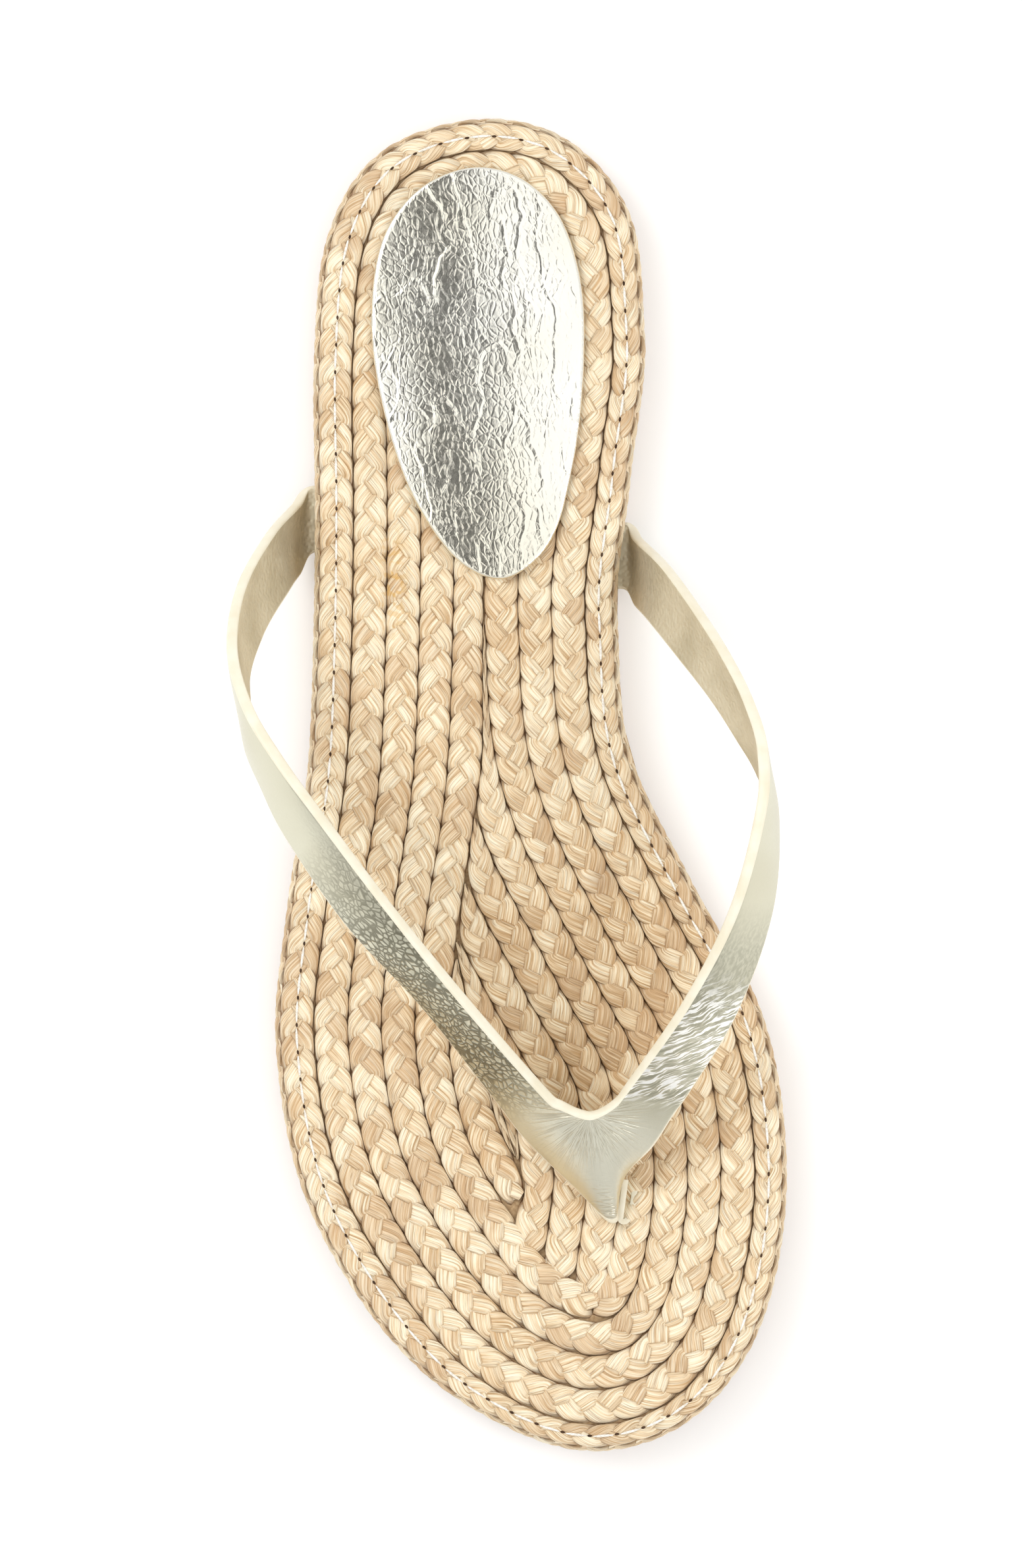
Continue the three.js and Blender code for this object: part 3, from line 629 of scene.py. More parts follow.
rim_far = rim_extra(edge) + course_width - rim_gap
rim_line = even(inset(edge, (rim_near + rim_far) / 2), True)
rim_width = (rim_extra(rim_line) + course_width - rim_gap - rim_near) / (2 * course_reach)
rim_laid = laid_along(rim_line, True, course_middle)
rim_plait = plait(*rim_laid, True, course_reach, course_leaf, 2, rim_width)
round_plaits = []
for k in range(1, common_courses):
    for line, closed in level_lines(depths["whole"], k + 0.5):
        if closed:
            x, y = line.T
            turned = line if np.sum(x * np.roll(y, -1) - np.roll(x, -1) * y) > 0 else line[::-1]
            round_plaits.append(course(turned, True, 10 + k))

side_plaits = {1: [], -1: []}
seed = 20
for k in range(common_courses, most_courses):
    inner = "straight" if k > common_courses else "medial"
    for side, key in ((1, "lateral"), (-1, inner)):
        room = room_left(key, k, ranks)
        for line, closed in level_lines(depths[key] - 0.5 * room[:, None], k):
            kept = stays_with(side, k, line) & (room_left(key, k, line[:, 1]) > least_room)
            first = int(np.argmin(kept))
            line, kept = np.roll(line, -first, 0), np.roll(kept, -first)
            changes = np.flatnonzero(np.diff(np.concatenate([[0], kept.astype(int), [0]])))
            for start, stop in zip(changes[::2], changes[1::2]):
                run = line[start:stop]
                if stop - start > fewest_points and step_lengths(run).sum() > 2 * course_width:
                    towards_toe = run[-1, 1] > run[0, 1]
                    seed += 1
                    turned = run if towards_toe == (side > 0) else run[::-1]
                    side_plaits[side].append(course(turned, False, seed, key, k))

for name, plaits in (
    ("rim_course", [rim_plait]), ("round_courses", round_plaits),
    ("little_toe_side_courses", side_plaits[1]), ("big_toe_side_courses", side_plaits[-1]),
):
    build_plaits(name, plaits, raffia)

# Painted shade: the base is real, but coloured as straw in shade, to pass for the shaded gaps between the
# courses
base_shade_dark = (0.34, 0.21, 0.10, 1)
base_shaded_straw = (0.58, 0.41, 0.23, 1)
base_stations = 80
base_cuts = 49
base_cloth, place, link = finish_named("footbed_base", Roughness=0.9)
threads = place.noise(1500.0, 2.0)
link(
    Base_Color=threads.steps((0.3, base_shade_dark), (0.8, base_shaded_straw)),
    Normal=threads.bump(0.5, 0.0002),
)


def cut_leaf(name, ring, level):
    """A flat leaf cut to a ring of points, being edited and with all of it selected."""
    bpy.ops.object.select_all(action="DESELECT")
    bpy.ops.mesh.primitive_circle_add(vertices=len(ring), fill_type="NGON")
    made = bpy.context.object
    made.name = name
    for vertex, (x, y) in zip(made.data.vertices, ring):
        vertex.co = (x, y, level)
    bpy.ops.object.mode_set(mode="EDIT")
    bpy.ops.mesh.select_all(action="SELECT")
    return made


def point_outwards():
    """The edited piece's faces point outwards, and its editing ends."""
    bpy.ops.mesh.select_all(action="SELECT")
    bpy.ops.mesh.normals_make_consistent(inside=False)
    bpy.ops.object.mode_set(mode="OBJECT")


footbed_base = cut_leaf("footbed_base", inset(sole_edge(base_stations), rim_near), footbed_bottom)
for y in np.linspace(-0.12, 0.12, base_cuts):
    bpy.ops.mesh.select_all(action="SELECT")
    bpy.ops.mesh.bisect(plane_co=(0, float(y), footbed_bottom), plane_no=(0, 1, 0))
bpy.ops.mesh.select_all(action="SELECT")
bpy.ops.mesh.extrude_region_move(TRANSFORM_OT_translate={"value": (0, 0, base_top - footbed_bottom)})
point_outwards()
for vertex in footbed_base.data.vertices:
    vertex.co.z += float(lift(vertex.co.y))
    vertex.co.y += sole_middle
give(footbed_base, base_cloth)
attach(footbed_base, "root")
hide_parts("braided_footbed")


# The rim stitches
# A white thread sews the rim course down along its middle. Each stitch lies over one pair of strands,
# and the needle holes between them are flat beads painted dark, as shade.
stitch_length = 0.0041
thread_width = 0.0005
stitch_rise = 0.00122
hole_size = (0.0005, 0.0009, 0.0004)
hole_rise = 0.00112
stitch_pitch = plait_pitch
rim_step = 0.001
thread_light = (0.93, 0.90, 0.84, 1)
thread_soiled = (0.72, 0.66, 0.55, 1)
# Painted shade for the needle holes
hole_shade_dark = (0.03, 0.014, 0.006, 1)
hole_shade_edge = (0.09, 0.045, 0.02, 1)

thread_white, place, link = finish_named("stitch_thread", Roughness=0.6)
ply = place.noise(2500.0, 2.0)
link(
    Base_Color=ply.steps((0.3, thread_soiled), (0.6, thread_light)),
    Normal=ply.bump(0.5, 0.0001),
)
# Painted shade: dark beads where the needle holes are
hole_painted_shade, place, link = finish_named("needle_hole_shade", Roughness=0.95)
hole_mottle = place.noise(1800.0, 2.0)
link(Base_Color=hole_mottle.steps((0.3, hole_shade_dark), (0.7, hole_shade_edge)))


def copies(name, piece, places, aheads, sides, ups, material):
    """The piece's mesh once at each place, turned to it, as one joined mesh."""
    shape = np.array([vertex.co for vertex in piece.data.vertices])
    quads = [list(polygon.vertices) for polygon in piece.data.polygons]
    points = places[:, None] + shape[None, :, 0:1] * sides[:, None]
    points = points + shape[None, :, 1:2] * aheads[:, None] + shape[None, :, 2:3] * ups[:, None]
    faces = [[i + n * len(shape) for i in quad] for n in range(len(places)) for quad in quads]
    bpy.data.objects.remove(piece)
    return build(name, points.reshape(-1, 3), faces, material)


def bead(width, length, height):
    """A long rounded bead at the origin."""
    bpy.ops.object.select_all(action="DESELECT")
    bpy.ops.mesh.primitive_uv_sphere_add(
        segments=8, ring_count=6, radius=0.5, rotation=(math.pi / 2, 0, 0))
    made = bpy.context.object
    bpy.ops.object.transform_apply(rotation=True)
    bpy.ops.object.mode_set(mode="EDIT")
    bpy.ops.mesh.select_all(action="SELECT")
    bpy.ops.transform.resize(value=(width, length, height))
    bpy.ops.object.mode_set(mode="OBJECT")
    return made


rim_ring = np.vstack([rim_line, rim_line[:1]])
rim_run = run_along(rim_ring)
stitch_count = round(rim_run[-1] / stitch_pitch)
stitch_at = np.arange(stitch_count) * rim_run[-1] / stitch_count


def rim_spot(distance):
    """The places on the rim course's middle at distances along it."""
    return np.column_stack([np.interp(distance % rim_run[-1], rim_run, column) for column in rim_ring.T])


def along_rim(distance, height):
    """Places on the rim course's middle, and the directions there."""
    spot = rim_spot(distance)
    ahead = rim_spot(distance + rim_step) - spot
    ahead /= np.linalg.norm(ahead, axis=1)[:, None]
    aheads = np.column_stack([ahead, np.zeros(len(spot))])
    sides = np.column_stack([ahead[:, 1], -ahead[:, 0], np.zeros(len(spot))])
    ups = np.tile([0.0, 0.0, 1.0], (len(spot), 1))
    return np.column_stack([spot, height + lift(spot[:, 1])]), aheads, sides, ups


stitches = copies("rim_stitches", bead(thread_width, stitch_length, thread_width * 0.8),
                  *along_rim(stitch_at, course_middle + stitch_rise), thread_white)
holes = copies("needle_holes", bead(*hole_size),
               *along_rim(stitch_at + stitch_pitch / 2, course_middle + hole_rise), hole_painted_shade)


# The heel pad
# A thin leaf of leather with a crackled champagne foil, glued over the courses under the heel. Its
# edge is cut square and softened, and its flat top is wrinkled along its length.
pad_length = 0.077
pad_width = 0.0395
pad_bottom = 0.0152
pad_thickness = 0.0012
pad_round = 0.0005
pad_stations = 144
pad_rear = -0.463
pad_middle = 0.01
pad_rows = [
    (-0.04, 0), (0.21, 0.04), (0.4, 0.15), (0.49, 0.36), (0.45, 0.6), (0.32, 0.82), (0.12, 0.965),
    (-0.06, 1), (-0.27, 0.93), (-0.41, 0.75), (-0.5, 0.5), (-0.51, 0.28), (-0.42, 0.12), (-0.25, 0.03),
]


def mix(one, other, low, high, at):
    """A value between two, as far along as a place is between low and high."""
    return ((high - at) * one + (at - low) * other) / (high - low)


def pad_outline(count):
    """A smooth ring through the pad's rows."""
    rows = np.array(pad_rows) * [pad_width, pad_length]
    rows = rows + [pad_middle * ball_width, pad_rear * sole_length]
    steps = np.linalg.norm(np.roll(rows, -1, 0) - rows, axis=1) ** 0.5
    run = np.cumsum(steps)
    knots = np.concatenate([-np.cumsum(steps[::-1][:3])[::-1], [0], run, run[-1] + np.cumsum(steps[:3])])
    ring = np.vstack([rows[-3:], rows, rows[:4]])
    at = np.linspace(0, run[-1], count, endpoint=False)
    i = np.searchsorted(knots, at, side="right") - 1
    made = np.zeros((count, 2))
    for n, (k, t) in enumerate(zip(i, at)):
        p = ring[k - 1:k + 3]
        q = knots[k - 1:k + 3]
        a = [mix(p[m], p[m + 1], q[m], q[m + 1], t) for m in range(3)]
        b = [mix(a[m], a[m + 1], q[m], q[m + 2], t) for m in range(2)]
        made[n] = mix(b[0], b[1], q[1], q[2], t)
    return made


foil_light = (0.96, 0.94, 0.86, 1)
foil_warm = (0.91, 0.87, 0.74, 1)

pad_foil, place, link = finish_named("pad_foil", Metallic=1.0)
sway = place.noise(110.0, 2.0, out="Color")
bent = place.vector("ADD", sway.scaled(0.0045, 0.0045, 0.0045))
swell = place.noise(42.0, 1.0)
across_pad = place.part("X") - pad_middle * ball_width
dome = across_pad * across_pad
folds = bent.scaled(130, 42, 130).noise(1.0, 1.0)
pleats = bent.scaled(260, 110, 260).noise(1.0, 0.0)
ridges = (folds - 0.5).math("ABSOLUTE").steps((0.0, 1), (0.03, 0))
lines = (pleats - 0.5).math("ABSOLUTE").steps((0.0, 1), (0.05, 0))
cracks = bent.scaled(1, 0.6, 1).pebbled(950.0, "DISTANCE_TO_EDGE")
crackle = cracks.steps((0.0, 0), (0.2, 1))
grain = place.scaled(1, 0.6, 1).noise(1700.0, 2.0)
pad_height = 0.45 * swell - 2600 * dome + 0.032 * ridges + 0.012 * lines + 0.012 * crackle + 0.012 * grain
link(
    Base_Color=swell.steps((0.35, foil_light), (0.7, foil_warm)),
    Roughness=0.09 + 0.1 * grain,
    Normal=pad_height.bump(1.0, 0.001),
)

heel_pad = cut_leaf("heel_pad_leaf", pad_outline(pad_stations) + [0, sole_middle], pad_bottom)
bpy.ops.mesh.select_mode(type="FACE")
bpy.ops.mesh.extrude_region_move(TRANSFORM_OT_translate={"value": (0, 0, pad_thickness)})
bpy.ops.mesh.bevel(offset=pad_round, segments=4, affect="EDGES")
bpy.ops.object.mode_set(mode="OBJECT")
top_face = max(heel_pad.data.polygons, key=lambda face: face.center.z + face.area)
for face in heel_pad.data.polygons:
    face.select = face.index == top_face.index
bpy.ops.object.mode_set(mode="EDIT")
bpy.ops.mesh.inset(thickness=pad_round)
point_outwards()
smooth(heel_pad.data)
give(heel_pad, pad_foil)
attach(heel_pad, "root")
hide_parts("heel_pad")


# The thong strap
# One strap of foil-finished leather with a grained lining and a cream painted edge. It leaves the sole
# on the little toe's side, crosses the instep, narrows into the toe post and comes back.
strap_thickness = 0.0021
strap_width = 0.0123
strap_rise = 0.0322
strap_crown = 0.0005
tail_depth = 0.012
strap_foot = 0.0149
tail_middle = 0.00395
steps_a_row = 12
width_points = 41
ease_passes = 300
normal_passes = 10
face_points = 28
lining_points = 16
edge_softness = 0.042
edge_roundness = 0.7
# Across, along, rise, direction to the rear edge, width
strap_rows = [
    (0.353, -0.185, -1, 0, -1, 0, 1.01), (0.398, -0.168, -0.77, -0.07, -0.99, 0.07, 1.1),
    (0.42, -0.156, -0.04, 0.17, -0.9, 0.39, 1), (0.475, -0.124, 0.32, 0.23, -0.76, 0.62, 1),
    (0.508, -0.086, 0.584, 0.15, -0.61, 0.78, 1), (0.508, -0.048, 0.773, -0.04, -0.49, 0.87, 1),
    (0.479, -0.01, 0.913, -0.25, -0.43, 0.87, 1), (0.44, 0.026, 1, -0.45, -0.37, 0.8, 1),
    (0.335, 0.093, 0.953, -0.66, -0.19, 0.73, 1), (0.197, 0.158, 0.665, -0.64, -0.01, 0.76, 1),
    (0.059, 0.236, 0.298, -0.72, -0.1, 0.69, 1), (0.019, 0.26, 0.205, -0.516, -0.415, 0.749, 1.128),
    (-0.037, 0.284, 0.124, -0.227, -0.643, 0.731, 1.346),
    (-0.095, 0.308, 0.084, 0.007, -0.774, 0.634, 1.68), (-0.144, 0.33, 0.062, 0.14, -0.829, 0.541, 2.075),
    (-0.146, 0.326, 0.068, 0.134, -0.821, 0.556, 1.992),
    (-0.155, 0.305, 0.133, 0.164, -0.78, 0.603, 1.552),
    (-0.178, 0.29, 0.198, 0.269, -0.738, 0.619, 1.264),
    (-0.229, 0.274, 0.283, 0.579, -0.605, 0.546, 1.084),
    (-0.275, 0.25, 0.394, 0.889, -0.265, 0.373, 0.962), (-0.305, 0.236, 0.438, 0.93, -0.15, 0.33, 1),
    (-0.411, 0.176, 0.692, 0.77, -0.15, 0.61, 1), (-0.49, 0.102, 0.86, 0.57, -0.02, 0.83, 1),
    (-0.51, 0.033, 0.872, 0.2, -0.14, 0.97, 1), (-0.489, 0.002, 0.816, -0.04, -0.32, 0.94, 1),
    (-0.454, -0.024, 0.724, -0.16, -0.55, 0.81, 1), (-0.41, -0.054, 0.562, -0.2, -0.69, 0.69, 1),
    (-0.355, -0.085, 0.329, -0.25, -0.78, 0.58, 1), (-0.303, -0.114, 0.034, -0.23, -0.87, 0.42, 1),
    (-0.278, -0.127, -0.77, -0.04, -0.99, 0.04, 1.07), (-0.243, -0.142, -1, -0.13, -0.99, 0, 1.02),
]


def unit(vectors):
    return vectors / np.linalg.norm(vectors, axis=-1, keepdims=True)


table = np.array(strap_rows, float)
fronts = np.column_stack([table[:, 0] * ball_width, table[:, 1] * sole_length, strap_foot + np.where(
    table[:, 2] < 0, table[:, 2] * (strap_foot - tail_middle), table[:, 2] * strap_rise)])
rears = fronts + unit(table[:, 3:6]) * table[:, 6:7] * strap_width
tails = [np.array([-math.copysign(tail_depth, fronts[k, 0]), 0, 0]) for k in (0, -1)]
fronts = np.vstack([fronts[0] + tails[0], fronts, fronts[-1] + tails[1]])
rears = np.vstack([rears[0] + tails[0], rears, rears[-1] + tails[1]])
mean_step = (step_lengths(fronts) + step_lengths(rears)) / 2
knots = np.concatenate([[0], np.cumsum(np.sqrt(mean_step * 1000))])
spans = [np.linspace(a, b, steps_a_row, endpoint=False) for a, b in zip(knots, knots[1:])]
stops = np.concatenate(spans + [knots[-1:]])
front = np.column_stack([follow(knots, column, stops) for column in fronts.T])
rear = np.column_stack([follow(knots, column, stops) for column in rears.T])

edge_turn = np.linspace(0, math.pi, 9)[1:-1]
bulge = edge_softness * np.sin(edge_turn) ** edge_roundness
near, far = edge_softness, 1 - edge_softness
section = [(share, 1.0) for share in np.linspace(near, far, face_points)]
section += list(zip(far + bulge, np.cos(edge_turn)))
section += [(share, -1.0) for share in np.linspace(far, near, lining_points)]
section += list(zip(near - bulge, -np.cos(edge_turn)))
section = np.array(section)

# The strap's middle layer, eased over the post, where the leather was stretched wet
widths = np.linspace(0, 1, width_points)
layer = front[:, None] + (rear - front)[:, None] * widths[None, :, None]
steps = np.arange(len(front))
rows_passed = steps / steps_a_row
near_post = smoothstep(rows_passed, 11, 13.5) * (1 - smoothstep(rows_passed, 18.5, 20.5))
held = smoothstep(widths, 0, 0.3) * (1 - 0.8 * smoothstep(widths, 0.7, 1))
ease = near_post[1:-1, None, None] * held[None, :, None]
for _ in range(ease_passes):
    layer[1:-1] += ease * ((layer[:-2] + layer[2:]) / 2 - layer[1:-1])
    between = (layer[1:-1, :-2] + layer[1:-1, 2:]) / 2
    layer[1:-1, 1:-1] += 0.5 * ease[:, 1:-1] * (between - layer[1:-1, 1:-1])
normals = unit(np.cross(np.gradient(layer, axis=0), np.gradient(layer, axis=1)))
for _ in range(normal_passes):
    normals[1:-1] = unit(normals[:-2] + 2 * normals[1:-1] + normals[2:])


def across_layer(values, shares):
    """Values on the middle layer at shares of its width."""
    at = shares * (len(widths) - 1)
    low = np.minimum(at.astype(int), len(widths) - 2)
    part = (at - low)[None, :, None]
    return values[:, low] * (1 - part) + values[:, low + 1] * part


share = section[:, 0][None, :, None]
fade = np.minimum(1, np.minimum(rows_passed, rows_passed[::-1]) / 2)[:, None, None]
crown = strap_crown * 4 * share * (1 - share) * fade
face = section[:, 1][None, :, None]
normal = unit(across_layer(normals, section[:, 0]))
strap_points = across_layer(layer, section[:, 0]) + normal * (face * strap_thickness / 2 + crown)
run = run_along((front + rear) / 2)
along = np.broadcast_to(run[:, None], strap_points.shape[:2])
wide = np.linalg.norm(rear - front, axis=1)[:, None] * section[:, 0][None, :]
strap_marks = np.stack([along, wide, np.broadcast_to(section[:, 1][None, :], along.shape)], -1)

rows_of, size = strap_points.shape[:2]
strap_faces = []
for r in range(rows_of - 1):
    for i in range(size):
        j = (i + 1) % size
        strap_faces.append((r * size + i, r * size + j, (r + 1) * size + j, (r + 1) * size + i))
strap_faces += [tuple(range(size - 1, -1, -1)), tuple((rows_of - 1) * size + i for i in range(size))]

champagne = (0.64, 0.62, 0.49, 1)
champagne_warm = (0.58, 0.55, 0.42, 1)
# Painted light for the foil round the tip
tip_painted_light = (0.77, 0.75, 0.62, 1)
# Darker foil: painted dark reflection on the right arm, painted shade in the tip's creases, darker
# patches on the left arm
foil_darkened = (0.29, 0.28, 0.21, 1)
foil_crease = (0.13, 0.12, 0.08, 1)
# Painted highlight for the right arm's streaks
foil_painted_highlight = (1.0, 0.99, 0.94, 1)
# Painted shade for the tip's lower edge
tip_shade_tan = (0.56, 0.46, 0.31, 1)
lining_light = (0.74, 0.68, 0.52, 1)
lining_dark = (0.60, 0.54, 0.39, 1)
paint_cream = (0.88, 0.83, 0.68, 1)
paint_yellowed = (0.82, 0.75, 0.57, 1)
inner_corner = (-0.0105, 0.1417, 0.0)
strap_end = float(run[-1])


def at_row(row):
    """The share of the strap's length at a row, or between two."""
    return float(np.interp(row + 1, rows_passed, run)) / strap_end


strap_foil, place, link = finish_named("strap_foil", Metallic=1.0)
marks = place.marked("strap")
down_strap = marks.part("X")
up_width = marks.part("Y")
length_share = down_strap * (1 / strap_end)
sway = place.noise(190.0, 2.0, out="Color")
bent = marks.vector("ADD", sway.scaled(0.003, 0.003, 0))

# The left arm, crazed where it bends over the instep, and darker in patches there
crazed = length_share.steps((at_row(7.2), 0), (at_row(8.2), 1), (at_row(9.6), 1), (at_row(10.6), 0))
cells = bent.scaled(1, 1.3, 0).pebbled(720.0, "DISTANCE_TO_EDGE")
left_mottle = bent.scaled(420, 520, 0).noise(1.0, 3.0)
net = cells.steps((0.06, 1), (0.2, 0)) * crazed
dark_left = left_mottle.steps((0.42, 0.1), (0.55, 1)) * crazed

# The right arm, pulled in slanting streaks with a painted highlight along them, and painted dark
# reflection between them and in a patch above them
pulled = length_share.steps((at_row(19.2), 0), (at_row(20), 1), (at_row(21), 1), (at_row(21.4), 0))
reflection_patch = length_share.steps((at_row(20.5), 0), (at_row(21), 1), (at_row(21.6), 0.8), (at_row(22.1), 0))
slant = place.node("ShaderNodeCombineXYZ", {
    "X": bent.part("X") * 1250 + bent.part("Y") * 1030,
    "Y": down_strap * 170 - up_width * 200,
})
pulls = slant.noise(1.0, 2.0)
# Painted highlight along the streaks
streaks = pulls.steps((0.5, 0), (0.56, 1)) * pulled
patch_mottle = bent.scaled(900, 1500, 0).noise(1.0, 2.0)
# Painted dark reflection between the streaks and in the patch above them
dark_streak_reflection = pulls.steps((0.36, 1), (0.48, 0.25)) * pulled
right_dark_reflection = (patch_mottle.steps((0.35, 0.4), (0.6, 1)) * reflection_patch).math("MAXIMUM", dark_streak_reflection)

# The tip, creased in a fan from the inner corner, with painted shade in its creases and along its lower
# edge
corner = place.scaled(1, 1, 0).vector("SUBTRACT", inner_corner)
corner_x = corner.part("X")
corner_y = corner.part("Y")
bearing = corner_x.math("ARCTAN2", corner_y)
fan = place.node("ShaderNodeCombineXYZ", {"X": bearing * 13.0, "Y": corner_y * 150.0})
rays = fan.noise(1.0, 3.0)
from_corner = corner.vector("LENGTH", out="Value")
fanned = from_corner.steps((0.001, 0.3), (0.004, 1), (0.0125, 0))
fine_rays = rays.steps((0.45, 0), (0.5, 1), (0.55, 0)) * fanned
at_tip = length_share.steps((at_row(13), 0), (at_row(13.9), 1), (at_row(14.6), 1), (at_row(15.2), 0))
# Painted shade along the tip's lower edge
tip_edge_shade = up_width.steps((0.001, 1), (0.0055, 0)) * at_tip
wrinkles = place.scaled(160, 1500, 0).noise(1.0, 2.0)
near_edge = up_width.steps((0.002, 1), (0.009, 0)) * at_tip
tip_lines = wrinkles.steps((0.46, 0), (0.5, 1), (0.54, 0)) * near_edge
swell = place.noise(60.0, 1.0)
grain = place.noise(1900.0, 3.0)
creases = 0.08 * net + 0.1 * fine_rays + 0.06 * tip_lines
strap_height = 0.7 * swell + 0.06 * streaks + 0.05 * grain - creases
# Painted light: the foil round the tip is painted lighter
painted_light_round_tip = length_share.steps((at_row(9.8), 0), (at_row(12), 1), (at_row(18), 1), (at_row(19.5), 0))
foil = swell.steps((0.35, champagne), (0.7, champagne_warm)).tint(painted_light_round_tip, tip_painted_light)
# Darker in patches on the left arm, and painted dark reflection on the right arm
darkened = (0.45 * dark_left).math("MAXIMUM", 0.75 * right_dark_reflection)
darkened_foil = foil.tint(darkened, foil_darkened).tint(0.85 * net, foil_crease)
lit_foil = darkened_foil.tint(streaks, foil_painted_highlight).tint(0.4 * tip_edge_shade, tip_shade_tan)
link(
    # Painted shade along the tip's fan creases and wrinkle lines
    Base_Color=lit_foil.tint(0.42 * (fine_rays + tip_lines), foil_darkened),
    Roughness=0.24 + 0.14 * grain,
    Normal=strap_height.bump(1.0, 0.0007),
)

strap_lining, place, link = finish_named("strap_lining", Metallic=0.55)
pebbles = place.pebbled(1300.0, "SMOOTH_F1")
tint = place.noise(90.0, 2.0)
link(
    Base_Color=tint.steps((0.35, lining_light), (0.65, lining_dark)),
    Roughness=0.42 + 0.3 * pebbles,
    Normal=pebbles.bump(0.6, 0.0003),
)

edge_paint, place, link = finish_named("edge_paint", Roughness=0.42)
drag = place.noise(260.0, 3.0)
link(
    Base_Color=drag.steps((0.3, paint_cream), (0.7, paint_yellowed)),
    Normal=drag.bump(0.3, 0.0002),
)

strap = build("strap_leather", strap_points.reshape(-1, 3), strap_faces, strap_foil,
              [("strap", strap_marks.reshape(-1, 3))])
strap.data.materials.append(strap_lining)
strap.data.materials.append(edge_paint)
section_mark = np.where(section[:, 1] > 0.99, 0, np.where(section[:, 1] < -0.99, 1, 2))
for i, polygon in enumerate(strap.data.polygons):
    k = i % size
    one, other = section_mark[k], section_mark[(k + 1) % size]
    polygon.material_index = 2 if i >= (rows_of - 1) * size or one != other else int(one)
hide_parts("thong_strap")


# The toe post
# The strap's end, folded double round a fold towards the toe and pulled through the footbed. Its two
# leaves show their foil outside and the cream painted edge on top.
post_across = -0.0163
post_slant = 0.2
leaf_thickness = 0.0011
post_along = 0.315 * sole_length + sole_middle
post_length = 0.0084
post_bottom = 0.0064
post_back_rise = 0.14
post_front_rise = 0.05
post_below_strap = 0.0003
far_leaf_drop = 0.0012
far_leaf_dip = 0.003
post_round = 0.0003
fold_gap = 0.0005
fold_open = 0.0005
post_levels = 7

leaf_centre = (leaf_thickness + fold_gap) / 2
back = post_along - post_length / 2
bend_at = post_along + post_length / 2 - leaf_thickness / 2 - leaf_centre
turns = np.linspace(0, math.pi, 9)
plan = [(post_across - leaf_centre - fold_open * math.sin(math.pi * s), back + (bend_at - back) * s)
        for s in np.linspace(0, 1, 7)[:-1]]
plan += [(post_across - leaf_centre * math.cos(t), bend_at + leaf_centre * math.sin(t)) for t in turns]
plan += [(post_across + leaf_centre, y) for y in np.linspace(bend_at, back, 5)[1:]]
heights = np.linspace(0, 1, post_levels)
bpy.ops.object.select_all(action="DESELECT")
bpy.ops.mesh.primitive_grid_add(
    x_subdivisions=len(heights) - 1, y_subdivisions=len(plan) - 1, size=post_length)
toe_post = bpy.context.object
toe_post.name = "toe_post"
post_points = []
for x, y in plan:
    share = (y - back) / post_length
    far = min(1, (post_across + leaf_centre - x) / (2 * leaf_centre))
    lower = post_below_strap + far * (far_leaf_drop + far_leaf_dip * (1 - share))
    rise = post_back_rise + (post_front_rise - post_back_rise) * share
    top_level = strap_foot + strap_rise * rise - lower
    slant = post_slant * (y - post_along)
    post_points += [(x + slant, y, post_bottom + (top_level - post_bottom) * h) for h in heights]
for vertex, spot in zip(toe_post.data.vertices, post_points):
    vertex.co = spot
toe_post.data.materials.clear()
toe_post.data.materials.append(strap_foil)
toe_post.data.materials.append(edge_paint)
wall = toe_post.modifiers.new("wall", "SOLIDIFY")
wall.thickness = leaf_thickness
wall.offset = 0
wall.material_offset_rim = 1
bevel = toe_post.modifiers.new("softened", "BEVEL")
bevel.width = post_round
bevel.segments = 2
bpy.context.view_layer.objects.active = toe_post
toe_post.select_set(True)
bpy.ops.object.modifier_apply(modifier="wall")
bpy.ops.object.modifier_apply(modifier="softened")
smooth(toe_post.data)
toe_post.select_set(False)
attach(toe_post, "root")


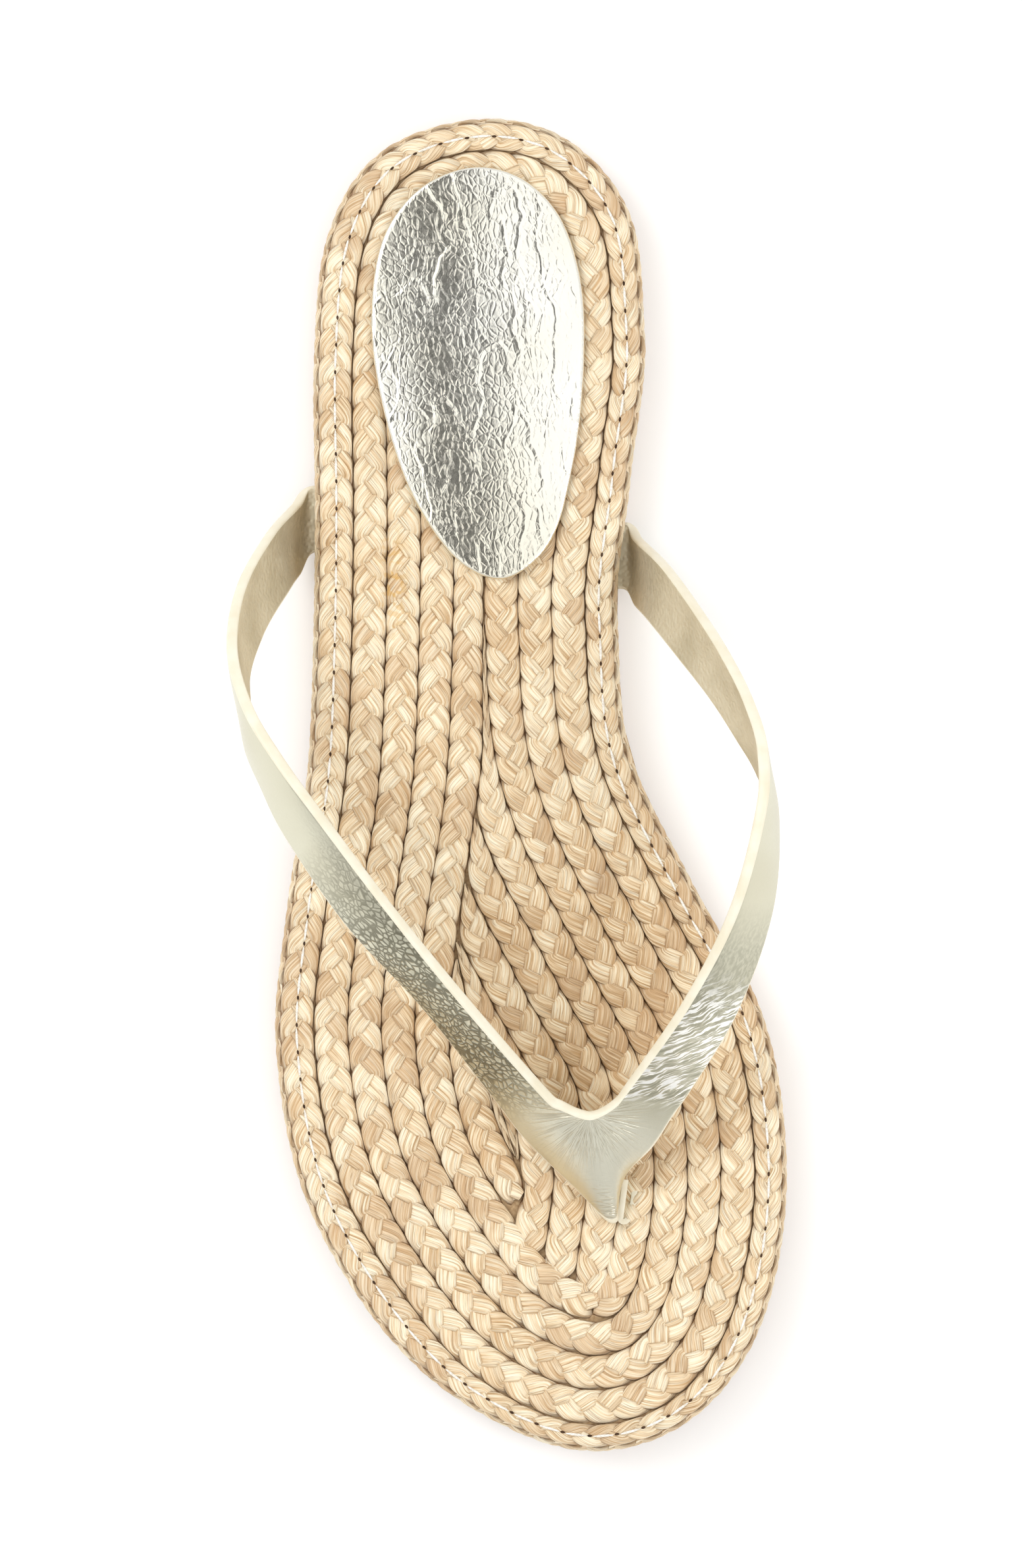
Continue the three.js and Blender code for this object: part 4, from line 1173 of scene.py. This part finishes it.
# The floor, the light and the camera
# A plain pale floor under soft studio light, and a camera far above the shoe with the heel at the top
# of its picture.
floor_size = 8
floor_drop = 0.0002
bpy.ops.mesh.primitive_plane_add(size=floor_size, location=(0, sole_middle, -floor_drop))
floor = bpy.context.object
floor.name = "floor"
bpy.ops.object.transform_apply(location=True)
floor_white, place, link = finish_named(
    "floor_white", Roughness=0.9, Emission_Color=(1, 1, 1, 1), Emission_Strength=0.14)
speck = place.noise(4.0, 2.0)
link(Base_Color=speck.steps((0.3, 0.93), (0.7, 0.95)))
give(floor, floor_white)

world = bpy.data.worlds.new("studio")
bpy.context.scene.world = world
world.use_nodes = True
sky = Wire(world.node_tree)
direction = sky.node("ShaderNodeTexCoord", {}, out="Generated")
height = direction.part("Z")
walls = height.steps((0.0, 0.6), (0.15, 0.78), (0.35, 1.0), (0.7, 1.0), (0.85, 0.8))
across_sky = direction.part("X") * 0.5 + 0.5
ceiling = across_sky.steps((0.478, 1.3), (0.5, 0.14), (0.555, 0.07), (0.57, 0.35), (0.588, 1.3))
overhead = height.steps((0.8, 0), (0.93, 1))
studio = sky.node("ShaderNodeMix", {0: overhead, 6: walls, 7: ceiling}, out=2, data_type="RGBA")
world.node_tree.links.new(studio.socket, world.node_tree.nodes["Background"].inputs["Color"])
world.node_tree.nodes["Background"].inputs["Strength"].default_value = 0.9


def softbox(name, place, size, power):
    """A square area light that faces the shoe."""
    light = bpy.data.lights.new(name, "AREA")
    light.size = size
    light.energy = power
    lamp = bpy.data.objects.new(name, light)
    bpy.context.scene.collection.objects.link(lamp)
    lamp.location = place
    towards = np.array([0, sole_middle, 0]) - place
    lean = math.acos(-towards[2] / np.linalg.norm(towards))
    lamp.rotation_euler = (lean, 0, math.atan2(towards[1], towards[0]) - math.pi / 2)


softbox("key", np.array([0.9, -0.5, 1.5]), 0.9, 11)
softbox("fill", np.array([-1.1, 0.6, 1.2]), 0.8, 6)

picture_turn = 3.07439
picture_height = 0.29205
picture_middle = 0.07954
focus_height = 0.02
camera_height = 3.0
film_width = 36
camera_data = bpy.data.cameras.new("camera")
camera_data.sensor_width = film_width
camera_data.lens = film_width * (camera_height - focus_height) / picture_height
camera_data.clip_end = 20
camera = bpy.data.objects.new("camera", camera_data)
camera.location = (0, picture_middle, camera_height)
camera.rotation_euler = (0, 0, picture_turn)
bpy.context.scene.collection.objects.link(camera)
bpy.context.scene.camera = camera
bpy.context.scene.view_settings.view_transform = "Standard"
